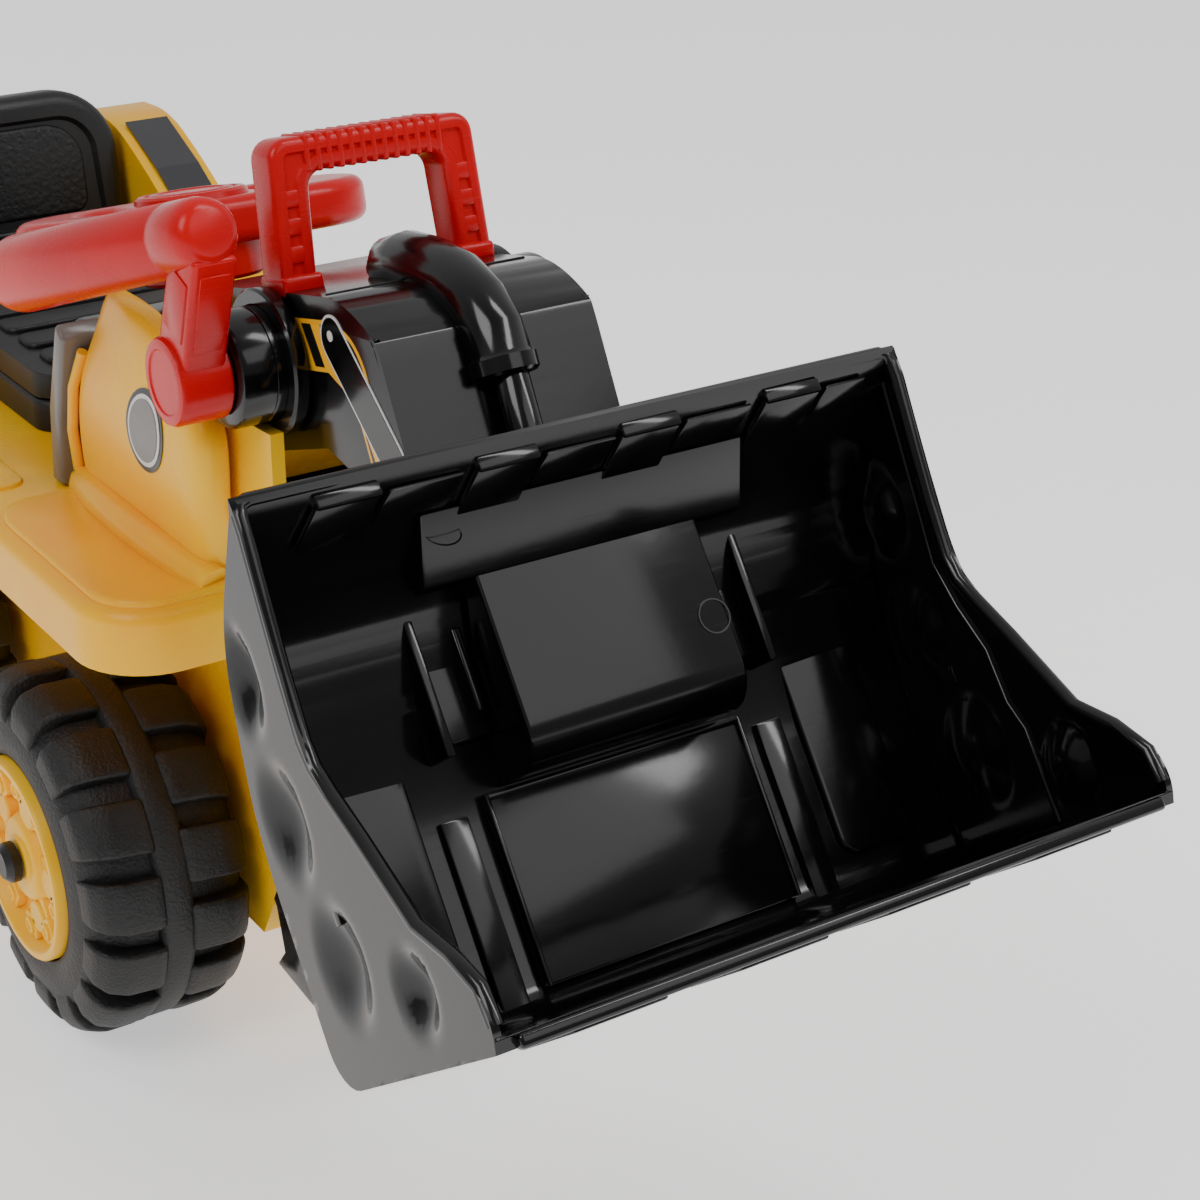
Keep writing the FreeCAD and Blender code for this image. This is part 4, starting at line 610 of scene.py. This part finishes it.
plate = box((-57, 12.6, -94), (57, 16.8, -20.5), 1.0, 2)
join(plate, box((-57.5, 11.2, -22.4), (57.5, 16.8, -19.6), 0.9, 2))
for side in (-1, 1):
    inner, outer = sorted((side * 56.4, side * 58.4))
    join(plate, box((inner, 11.4, -94), (outer, 16.8, -19.8), 0.7, 2))
plate.transform(LEVEL)
show("bucket_lower_plate", plate, gloss_black, "bucket", ("bucket_plate",), smooth=32)

# ------------------------------------------------------------------ boom
BOOM = 48.4
TOP = [(-37, 383), (-143.6, 406.4), (-155.5, 408.9), (-178, 405.9), (-189.5, 399.8), (-209.6, 362), (-231.6, 322.4)]
LOW = [(-182, 322.4), (-172.3, 339.3), (-146, 344), (-61, 314.3), (-36.3, 330.3)]
boom = side_plate(TOP[:1] + [(-155.5, 408.9), (-178, 405.9), (-189.5, 399.8), (-209.6, 362), (-231.6, 322.4)] + LOW, -BOOM, BOOM,
                  {0: 6, 1: 7, 2: 12, 3: 12}, 5.0, 4,
                  lambda p: abs(p.x) > 40 and (p.z > 346 or p.y < -190 and p.z > 323), curve=6)
boom.normal_update()
bmesh.ops.delete(boom, geom=[face for face in boom.faces if face.calc_center_median().z < 346
                             and face.calc_center_median().y < -50 and face.normal.z < -0.4],
                 context="FACES")
SLOT_HALF, SLOT_TOP = 7.0, 336.0
for spot, way in (((-SLOT_HALF, 0, 0), (1, 0, 0)), ((SLOT_HALF, 0, 0), (1, 0, 0)), ((0, 0, SLOT_TOP), (0, 0, 1))):
    bmesh.ops.bisect_plane(boom, geom=boom.verts[:] + boom.edges[:] + boom.faces[:], dist=0.01, plane_co=spot, plane_no=way)
bmesh.ops.delete(boom, geom=[face for face in boom.faces if abs(face.calc_center_median().x) < SLOT_HALF
                             and face.calc_center_median().y < -195 and face.calc_center_median().z < SLOT_TOP],
                 context="FACES")
walled(show("boom_look", boom, gloss_black, "boom", ("boom_shell",), smooth=32), 2.4)
noses = bmesh.new()
for side in (-1, 1):
    inner, outer = sorted((side * 26.2, side * 37.8))
    nose = side_plate([(-263.5, 281.5), (-221, 330), (-194, 330), (-267, 263.6), (-272, 260.9), (-284, 262), (-291, 270), (-291.5, 279),
                       (-286, 286.5), (-277, 289.8)], inner, outer, {}, 1.2, 2)
    join(noses, nose)
show("boom_noses", noses, gloss_black, "boom", smooth=32)
seam = box((-BOOM + 3, -144.5, 406.0), (BOOM - 3, -143.6, 406.95), 0.2, 1)
show("boom_seam", seam, satin_black, "boom")

STICKER = 0.35
for side in (-1, 1):
    face_x = side * (BOOM + 0.05)
    band = [(-47, 371), (-60, 377.5), (-150, 398.3), (-165, 398.6), (-178, 392), (-199, 352), (-205, 336), (-190, 336),
            (-171, 371), (-150, 377), (-78, 360.5), (-52, 352)]
    edge_line = side_plate(band, *sorted((face_x, face_x + side * 0.2)), {0: 4, 3: 6, 4: 8, 6: 3, 7: 3, 8: 10, 11: 5})
    show("boom_label_edge", edge_line, yellow_print, "boom")
    slim = [(-48.6, 370), (-60, 375.6), (-150, 396.4), (-164.5, 396.8), (-176.6, 390.6), (-197.2, 351.4), (-203, 338),
            (-191, 338), (-172, 373), (-150, 379), (-78, 362.5), (-53, 354)]
    bands = side_plate(slim, *sorted((face_x, face_x + side * STICKER)), {0: 3, 3: 6, 4: 8, 6: 3, 7: 3, 8: 10, 11: 4})
    show("boom_label", bands, hazard, "boom")
    for name, width, long, rise, material in (("lozenge_edge", 19.5, 78.0, 0.5, pale_print),
                                             ("lozenge", 17.3, 75.6, 0.7, gloss_black)):
        half_w, half_l = width / 2, long / 2
        lozenge = pulled(flat([(0, -half_l, -half_w), (0, half_l, -half_w), (0, half_l, half_w), (0, -half_l, half_w)],
                              {0: half_w * 0.98, 1: half_w * 0.98, 2: half_w * 0.98, 3: half_w * 0.98}, 7),
                         (side * rise, 0, 0))
        lozenge.transform(moved(face_x, -178, 374) @ rotation("X", 38.0))
        show("boom_" + name, lozenge, material, "boom")
    for along in (-31.0, 31.0):
        dot = turned([(0, 0), (0, 2.3), (0.9, 2.2), (1.1, 1.5), (1.1, 0)], steps=20, closed=False)
        dot.transform(moved(face_x, -178, 374) @ rotation("X", 38.0) @ moved(0, along, 0) @ Matrix.Diagonal((side, 1, 1, 1)))
        show("boom_label_stud", dot, pale_print, "boom")

pivot = joint_place["boom_lift"]
for name, sign in (("right", -1), ("left", 1)):
    place = moved(0, pivot.y, pivot.z) @ Matrix.Diagonal((sign, 1, 1, 1))
    ring = turned([(50.1, 24.2), (50.1, 29.4), (51.3, 30.4), (55.8, 30.4), (56.9, 29.4), (56.9, 24.2)], steps=72)
    ring.transform(place)
    show("pivot_ring_look", ring, gloss_black, "chassis", (f"pivot_ring_{name}",))
    barrel = turned([(48.7, 4.7), (48.7, 23.9), (61, 23.9), (61.4, 23.3), (62.2, 23.3), (62.6, 23.9), (73.4, 23.9),
                     (75.4, 23.1), (76.4, 21.2), (76.4, 4.7)], steps=72)
    barrel.transform(place)
    show("pivot_barrel_look", barrel, gloss_black, "boom", (f"pivot_barrel_{name}",))

# ------------------------------------------------------------------ carry handle
FOOT = moved(0, -104, 402.2) @ rotation("X", -12)
handle = pulled(flat([(x, -10, z) for x, z in ((-48.9, -6), (-32.8, -6), (-30.2, 41), (30.2, 41), (32.8, -6), (48.9, -6), (46.2, 55.2),
                                               (-46.2, 55.2))], {2: 7, 3: 7, 6: 8, 7: 8}, 6), (0, 20, 0))
soften(handle, 3.2, 4, lambda p: p.z > -5)
handle.normal_update()
caps = [face for face in handle.faces if abs(face.normal.y) > 0.999 and face.calc_area() > 900]
for cap in caps:
    bmesh.ops.inset_region(handle, faces=[cap], thickness=2.6, depth=0.0)
    bmesh.ops.inset_region(handle, faces=[cap], thickness=0.9, depth=-1.3)
for step in range(13):
    x = -30 + step * 5
    join(handle, box((x - 1.3, -10.3, 40.6), (x + 1.3, 10.3, 55.9), 1.0, 3))
for sign in (-1, 1):
    for z in (6, 17, 28):
        join(handle, box((sign * 40 - 5, -9.9, z), (sign * 40 + 5, 9.9, z + 7), 1.0, 2))
    low_x, high_x = sorted((sign * 30.6, sign * 49.0))
    join(handle, box((low_x, -11.3, -7), (high_x, 11.3, 1.5), 2.0, 3))
handle.transform(FOOT)
show("carry_handle_look", handle, red, "boom", ("carry_handle",), smooth=35)

# ------------------------------------------------------------------ dummy cylinder over the shoulder
ROUND = 20
rings = []
for (y, z), (run, rise), wide, deep in (
        ((-110.5, 400), (-0.7, 0.7), 5, 3), ((-112, 401), (-0.75, 0.65), 10, 8), ((-118, 405), (-0.85, 0.5), 12.2, 11.5),
        ((-130, 409), (-0.96, 0.2), 12.5, 12.3), ((-148, 411), (-1, 0.02), 12.5, 12.5), ((-168, 410.6), (-0.98, -0.18), 12.5, 12.2),
        ((-183, 406), (-0.85, -0.52), 12.5, 12), ((-194, 398), (-0.62, -0.78), 12.4, 12), ((-199.5, 389.5), (-0.5, -0.87), 12.3, 12),
        ((-200.3, 388.2), (-0.47, -0.883), 13.9, 13.4), ((-203, 383), (-0.47, -0.883), 13.9, 13.4),
        ((-203.6, 382), (-0.47, -0.883), 12.6, 12.2), ((-203.2, 382.6), (-0.47, -0.883), 8.6, 8.4)):
    tangent = Vector((0, run, rise)).normalized()
    up = Vector((0, -tangent.z, tangent.y)) * -1
    rings.append([Vector((0, y, z)) + Vector((wide * math.cos(a), 0, 0)) + up * deep * math.sin(a)
                  for a in (math.tau * i / ROUND for i in range(ROUND))])
show("cylinder_sleeve_look", lofted(rings), gloss_black, "boom", ("cylinder_sleeve",), smooth=38)
ram = turned([(-38, 0), (-38, 6.4), (-37, 7), (24, 7), (25, 6.4), (25, 0)], steps=40, closed=False)
ram.transform(moved(0, -218.6, 362) @ rotation("X", -28) @ rotation("Y", -90))
show("cylinder_rod_look", ram, gloss_black, "boom", ("cylinder_rod",))

# ------------------------------------------------------------------ side lever
lever = turned([(-77.2, 4.6), (-77.2, 17.6), (-78, 18.3), (-97.6, 18.3), (-99.4, 17.4), (-99.9, 15.6), (-99.9, 13.6), (-99.3, 12.9),
                (-99.3, 0), (-96, 0), (-96, 4.6)], steps=64)
lever.transform(moved(0, pivot.y, pivot.z))
arm = side_plate([(-12.5, 6), (12.5, 6), (10.8, 60), (-12.3, 65)], -97.8, -79.2, {2: 4}, 2.6, 3)
join(arm, box((-95, -13.2, 22), (-82, -11, 58), 0.9, 2))
join(arm, box((-98.6, -8.5, 24), (-97, 7.5, 52), 0.8, 2))
arm.transform(moved(0, pivot.y, pivot.z) @ rotation("X", 20))
join(lever, arm)
grip_way = Vector((-math.sin(math.radians(6)), math.cos(math.radians(19)) * math.cos(math.radians(6)),
                   -math.sin(math.radians(19))))
grip = turned([(0, 0), (0, 8.5), (1.2, 11.4), (4, 13.4), (9, 14.2), (26, 14.5), (27, 14.1), (28.5, 14.1), (29.5, 14.55), (166, 16.9),
               (171, 16.2), (174.4, 14), (176, 10.5), (176, 0)], steps=56, closed=False)
grip.transform(moved(-88.5, -137.5, 437.4) @ Vector((1, 0, 0)).rotation_difference(grip_way).to_matrix().to_4x4())
join(lever, grip)
show("side_lever_look", lever, red, "lever", ("side_lever",), smooth=35)

# ------------------------------------------------------------------ steering wheel and horn button
COLUMN = moved(*joint_place["steering_turn"]) @ rotation("X", -13)


def half_round(side):
    """D-shaped finger hole, flat towards the hub."""
    arc = [(math.cos(math.pi * (i / 10 - 0.5)), math.sin(math.pi * (i / 10 - 0.5))) for i in range(11)]
    return [(side * (33.5 + 20 * across), 17 * along) for across, along in arc]


wheel = top_plate([(-84.6, -36.6), (84.6, -36.6), (84.6, 36.6), (-84.6, 36.6)], -21.6, 0, {0: 34, 1: 34, 2: 34, 3: 34}, 6.5, 5,
                  holes=(half_round(-1), half_round(1)))
collar = turned([(-38, 6.2), (-38, 27), (-36, 30), (-24, 30.8), (-18, 30.8), (-18, 6.2)], steps=64)
join(wheel, collar, rotation("Y", -90))
lip = turned([(-1.5, 21.7), (2.2, 21.7), (3.2, 22.6), (3.2, 24.8), (2.0, 26.4), (-1.5, 27.2)], steps=64)
join(wheel, lip, rotation("Y", -90))
wheel.transform(COLUMN)
show("steering_wheel_look", wheel, red, "steering", ("steering_wheel",), smooth=32)
button = turned([(1.7, 0), (1.7, 19.2), (-3.4, 19.2), (-3.4, 20.8), (1.2, 20.8), (2.8, 20.2), (3.7, 18.6), (3.7, 16.4), (3.1, 15.6), (3.1, 0)], steps=64,
                closed=False)
button.transform(COLUMN @ rotation("Y", -90))
show("horn_button_look", button, red, "horn", ("horn_button",), smooth=35)

SPRING_LOW, SPRING_HIGH, PRESS = -12.7, 1.5, 3.0
WIRE, COIL, TURNS, TURN_STEPS = 0.7, 9.6, 5, 20
spring = bmesh.new()
bmesh.ops.create_circle(spring, segments=8, radius=WIRE,
                        matrix=moved(COIL, 0, SPRING_LOW + WIRE) @ rotation("X", 90))
rise = (SPRING_HIGH - SPRING_LOW - 2 * WIRE) / (TURNS * TURN_STEPS)
bmesh.ops.spin(spring, geom=spring.verts[:] + spring.edges[:], cent=(0, 0, 0), axis=(0, 0, 1), dvec=(0, 0, rise),
               angle=math.tau * TURNS, steps=TURNS * TURN_STEPS, use_duplicate=False)
bmesh.ops.holes_fill(spring, edges=[edge for edge in spring.edges if edge.is_boundary])
spring.transform(COLUMN)
coil = show("horn_spring_coil", spring, steel, "steering", ("horn_spring",))
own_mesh(coil)

# ------------------------------------------------------------------ cowls, bead, trims and dash
LEVELS = [(270.6, -90, 45, 80), (278, -91, 45, 81.5), (292, -93, 44, 83), (310, -95, 41.5, 84), (328, -96, 36.5, 83.5),
          (341, -95, 31.5, 81), (351, -80, 27, 78.5), (361, -62, 22.5, 77), (369, -46, 19, 75.5), (373.6, -32, 14, 73.8)]
for name, sign in (("right", -1), ("left", 1)):
    rings = []
    for z, front, back, out in LEVELS:
        mid = (front + back) / 2
        outline = [(65.6, front + 3), (68.5, front), (out - 6, front + 0.8), (out - 1, front + 7), (out, front + 20),
                   (out + 1.2, mid), (out, back - 16), (out - 2, back - 6), (out - 8, back), (68.5, back), (65.6, back - 3),
                   (65.2, mid)]
        rings.append([(sign * x, y, z) for x, y in outline])
    cowl = show("cowl_look", lofted(rings), yellow, "chassis", (f"cowl_{name}",), smooth=60, subdivide=2)
    for name_part, radius, lift, material in (("lamp_rim", 18.0, 0.5, gloss_black), ("lamp_ring", 15.5, 0.8, pale_print),
                                              ("lamp_lens", 13.5, 1.1, grey)):
        circle = [(sign * 100, -46 + radius * math.cos(math.tau * i / 32), 327 + radius * math.sin(math.tau * i / 32))
                  for i in range(32)]
        sticker = laid_on(cowl, flat(circle), sign, lift)
        walled(show("cowl_" + name_part, sticker, material, "chassis"), 0.3)
    tube("cowl_bead", [(sign * x, y, z) for x, y, z in ((76, 46, 271), (80, 34, 274.5), (83.6, 10, 276), (85, -20, 276.4), (84.6, -48, 276),
                                                       (82, -74, 274.6), (77, -93, 271))], 8.6, yellow, "chassis")
    tube("cowl_rib", [(sign * x, y, z) for x, y, z in ((80.5, 42.5, 280), (82.6, 40.5, 300), (82.4, 35.4, 322), (79.5, 28, 340))],
         2.6, yellow, "chassis")
    trim = side_plate([(46.5, 270.6), (58.8, 270.6), (54.8, 308), (38, 353.6), (30.6, 346), (43.6, 304)], *sorted((sign * 65.2, sign * 87.8)),
                      {3: 5}, 2.6, 3)
    show("trim_look", trim, grey, "chassis", (f"trim_{name}",))
dash = side_plate([(0.2, 270.6), (101.8, 270.6), (95.8, 326), (84, 337.8), (12, 343.8), (0.2, 334)], -61.8, 61.8, {2: 6, 3: 6, 4: 5, 5: 5},
                  3.5, 3, lambda p: p.z > 272)
show("dash_look", dash, gloss_black, "chassis", ("dash_panel",))
stripe = top_plate([(-58, 18), (58, 18), (58, 34), (-58, 34)], 0, 0.5, {0: 4, 1: 4, 2: 4, 3: 4})
stripe.transform(moved(0, 0, 344.75) @ moved(0, 12, 0) @ rotation("X", -4.76) @ moved(0, -12, 0))
show("dash_label", stripe, hazard_flat, "chassis")

# ------------------------------------------------------------------ body
body_low, body_high = limits("upper_body")
DECK, SKIRT = body_high.z, body_low.z
notch = [(-132, -102), (-64, -102), (-64, -4), (64, -4), (64, -102), (132, -102), (132, 428), (-132, 428)]
deck = top_plate([(x * 0.9995, y * 0.9995) for x, y in notch], SKIRT, DECK, {0: 34, 5: 34, 6: 34, 7: 34}, 7.0, 5,
                 lambda p: p.z > DECK - 1 and not (abs(p.x) < 66 and p.y < 0), curve=10)
deck.normal_update()
bmesh.ops.delete(deck, geom=[face for face in deck.faces if face.normal.z < -0.9], context="FACES")
walled(show("deck_look", deck, yellow, "chassis", ("upper_body",), smooth=32), 3.0)
pads = bmesh.new()
for sign in (-1, 1):
    pad = [(sign * 66, -97), (sign * 125.5, -97), (sign * 125.5, 26), (sign * 116, 40), (sign * 66, 40)]
    join(pads, top_plate(pad, DECK - 1, DECK + 3.0, {1: 27, 2: 8, 3: 8}, 2.2, 4, lambda p: p.z > DECK, curve=9))
    flank = [(sign * 99, 60), (sign * 125, 60), (sign * 125, 232), (sign * 99, 232)]
    join(pads, top_plate(flank, DECK - 1, DECK + 1.6, {0: 8, 1: 8, 2: 8, 3: 8}, 1.2, 3, lambda p: p.z > DECK))
show("deck_pads", pads, yellow, "chassis", smooth=32)

panel = side_plate([(-74, 289.6), (-79.8, 250), (-79, 241.6), (-4.6, 241.6), (-4.6, 275.8), (-54, 293.8)], -63.4, 63.4, {0: 6, 5: 6}, 3.0, 3,
                   lambda p: p.y < -50)
for x in (-48, -24, 0, 24, 48):
    join(panel, box((x - 7, -79.6, 252), (x + 7, -74.5, 284), 1.6, 3), moved(0, -77, 268) @ rotation("X", -8.5) @ moved(0, 77, -268))
show("front_panel_look", panel, gloss_black, "chassis", ("front_panel",))
skid = side_plate([(-66, 90), (-72, 68), (-64, 58), (-110, 52.2), (-123.6, 62), (-114, 86), (-82, 120), (-78.6, 119.6), (-63.6, 93)],
                  -45.8, 45.8, {3: 14, 4: 12, 5: 16, 6: 4}, 4.0, 4)
show("front_skid_look", skid, gloss_black, "chassis", ("front_skid",))

# ------------------------------------------------------------------ seat, backrest and rear
base = top_plate([(-68.9, 113.2), (68.9, 113.2), (68.9, 330.8), (-68.9, 330.8)], 270.6, 286, {0: 14, 1: 14, 2: 8, 3: 8}, 3.0, 4,
                 lambda p: p.z > 285)
show("seat_base_look", base, satin_black, "chassis", ("seat_base",), smooth=32)
lid = top_plate([(-67.8, 114.2), (67.8, 114.2), (67.8, 326.6), (-67.8, 326.6)], 286.7, 299.5, {0: 14, 1: 14, 2: 10, 3: 10}, 4.0, 5,
                lambda p: p.z > 290 or p.y < 120)
for step in range(7):
    y = 128 + step * 27.5
    join(lid, top_plate([(-57, y), (57, y), (57, y + 20), (-57, y + 20)], 298, 302.4, {0: 6, 1: 6, 2: 6, 3: 6}, 2.0, 4,
                        lambda p: p.z > 300))
for sign in (-1, 1):
    ear = side_plate([(325, 288.8), (332, 288.6), (336.3, 291), (336.3, 295.2), (332, 297.5), (325, 297.5)], sign * 30 - 8.9, sign * 30 + 8.9,
                     {}, 0.8, 2)
    join(lid, ear)
show("seat_lid_look", lid, satin_black, "seat", ("seat_lid",), smooth=35)
BACK = moved(0, 343, 274.1) @ rotation("X", -8)
back = pulled(flat([(x, 0.2, z) for x, z in ((-79.8, 0.4), (79.8, 0.4), (79.8, 101.6), (-79.8, 101.6))], {2: 36, 3: 36}, 12), (0, 25.6, 0))
soften(back, 7.5, 6)
back.normal_update()
front_cap = [face for face in back.faces if face.normal.y < -0.999 and face.calc_area() > 3000]
bmesh.ops.inset_region(back, faces=front_cap, thickness=6.0, depth=0.0)
bmesh.ops.inset_region(back, faces=front_cap, thickness=2.4, depth=-3.0)
for z in (16, 24):
    join(back, box((-60, -1.0, z), (60, 4.5, z + 4), 1.4, 3))
back.transform(BACK)
show("backrest_look", back, satin_black, "chassis", ("backrest",), smooth=35)
pad = pulled(flat([(x, 4.2, z) for x, z in ((-58, 33), (58, 33), (58, 84), (-58, 84))], {0: 8, 1: 8, 2: 22, 3: 22}, 10), (0, -3.2, 0))
soften(pad, 2.4, 4, lambda p: p.y < 2)
pad.transform(BACK)
show("backrest_grain_panel", pad, leather_black, "chassis", smooth=35)

FLANK = [(236.2, 270.6), (427.8, 270.6), (427.8, 336), (416, 347.8), (374, 349.8), (328, 328.8), (236.2, 274)]
for sign in (-1, 1):
    low_x, high_x = sorted((sign * 85.2, sign * 121.8))
    flank = side_plate(FLANK, low_x, high_x, {3: 6, 4: 18, 5: 20})
    soften(flank, 15.0, 6, lambda p: abs(p.x) > 121 and p.y > 414)
    soften(flank, 4.5, 4, lambda p: p.z > 271 and not (p.y > 426 and abs(p.x) < 86))
    show("rear_flank", flank, yellow, "chassis", ("rear_cover",) if sign < 0 else (), smooth=35)
tail = side_plate([(385.2, 270.6), (427.8, 270.6), (427.8, 336), (416, 347.8), (385.2, 349.2)], -86, 86, {2: 6, 3: 6}, 3.0, 4,
                  lambda p: abs(p.x) < 85 and p.z > 300)
for x in (-40, 0, 40):
    join(tail, box((x - 14, 390, 346.6), (x + 14, 410, 350.6), 1.4, 3))
show("rear_tail", tail, yellow, "chassis", smooth=35)
for sign in (-1, 1):
    lens = turned([(-0.5, 0), (-0.5, 10.9), (1.0, 10.9), (1.6, 10.0), (1.5, 8.8), (1.9, 6.0), (2.0, 0)], steps=48, closed=False)
    for step in range(10):
        facet = box((1.0, -0.5, 2.5), (2.0, 0.5, 8.6), 0.2, 1)
        join(lens, facet, rotation("X", 36.0 * step))
    lens.transform(moved(sign * 86, 428.0, 305) @ rotation("Z", 90))
    show("tail_lamp_look", lens, lamp_red, "chassis", ("tail_lamps",) if sign < 0 else ())

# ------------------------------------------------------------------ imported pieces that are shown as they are
for part in frame["record"]["subparts"]:
    node = frame["nodes"][part["node"]]
    node.data.materials.clear()
    node.data.materials.append(FINISHES[part["material_slot"]])

# ------------------------------------------------------------------ studio
floor_mesh = bmesh.new()
bmesh.ops.create_grid(floor_mesh, x_segments=1, y_segments=1, size=60.0)
floor_data = bpy.data.meshes.new("floor")
floor_mesh.to_mesh(floor_data)
floor_mesh.free()
floor = bpy.data.objects.new("floor", floor_data)
scene.collection.objects.link(floor)
paper_floor, paper_tree, paper_place = start_material("studio_paper")
fibres = add_node(paper_tree, "TexNoise", {"Scale": 3.0}, {"Vector": (paper_place, "Object")})
paper_tone = add_node(paper_tree, "Mix", {6: colour("#FAFAFA"), 7: colour("#F6F6F6")}, {0: (fibres, "Fac")}, data_type="RGBA")
end_material(paper_tree, add_node(paper_tree, "BsdfPrincipled", {"Roughness": 0.8, "Emission Color": (1.0, 1.0, 1.0, 1.0),
                                                                "Emission Strength": 0.7},
                                  {"Base Color": (paper_tone, 2)}))
floor_data.materials.append(paper_floor)

world = bpy.data.worlds.new("studio")
scene.world = world
world.use_nodes = True
sky = world.node_tree.nodes["Background"]
look_way = add_node(world.node_tree, "TexCoord")
towards = add_node(world.node_tree, "VectorMath", {1: (0.45, 0.85, 0.27)}, {0: (look_way, "Generated")},
                   operation="DOT_PRODUCT")
paper = add_node(world.node_tree, "MapRange", {1: -0.35, 2: 0.75, 3: 0.24, 4: 0.72}, {0: (towards, "Value")},
                 interpolation_type="SMOOTHSTEP")
world.node_tree.links.new(paper.outputs[0], sky.inputs["Strength"])
sky.inputs["Color"].default_value = (1.0, 1.0, 1.0, 1.0)
for name, place, aim, size, power in (
        ("key_softbox", (-1.5, -0.7, 1.9), (0, -0.1, 0.25), (1.1, 1.1), 19.0),
        ("strip_softbox", (0.9, -0.9, 1.9), (0, -0.3, 0.25), (0.35, 1.5), 14.0),
        ("front_softbox", (0.6, -1.7, 1.7), (0, -0.3, 0.25), (1.5, 1.0), 7.0)):
    lamp = bpy.data.objects.new(name, bpy.data.lights.new(name, "AREA"))
    lamp.data.shape = "RECTANGLE"
    lamp.data.size, lamp.data.size_y = size
    lamp.data.energy = power
    lamp.location = place
    lamp.rotation_euler = (Vector(aim) - Vector(place)).to_track_quat("-Z", "Y").to_euler()
    scene.collection.objects.link(lamp)
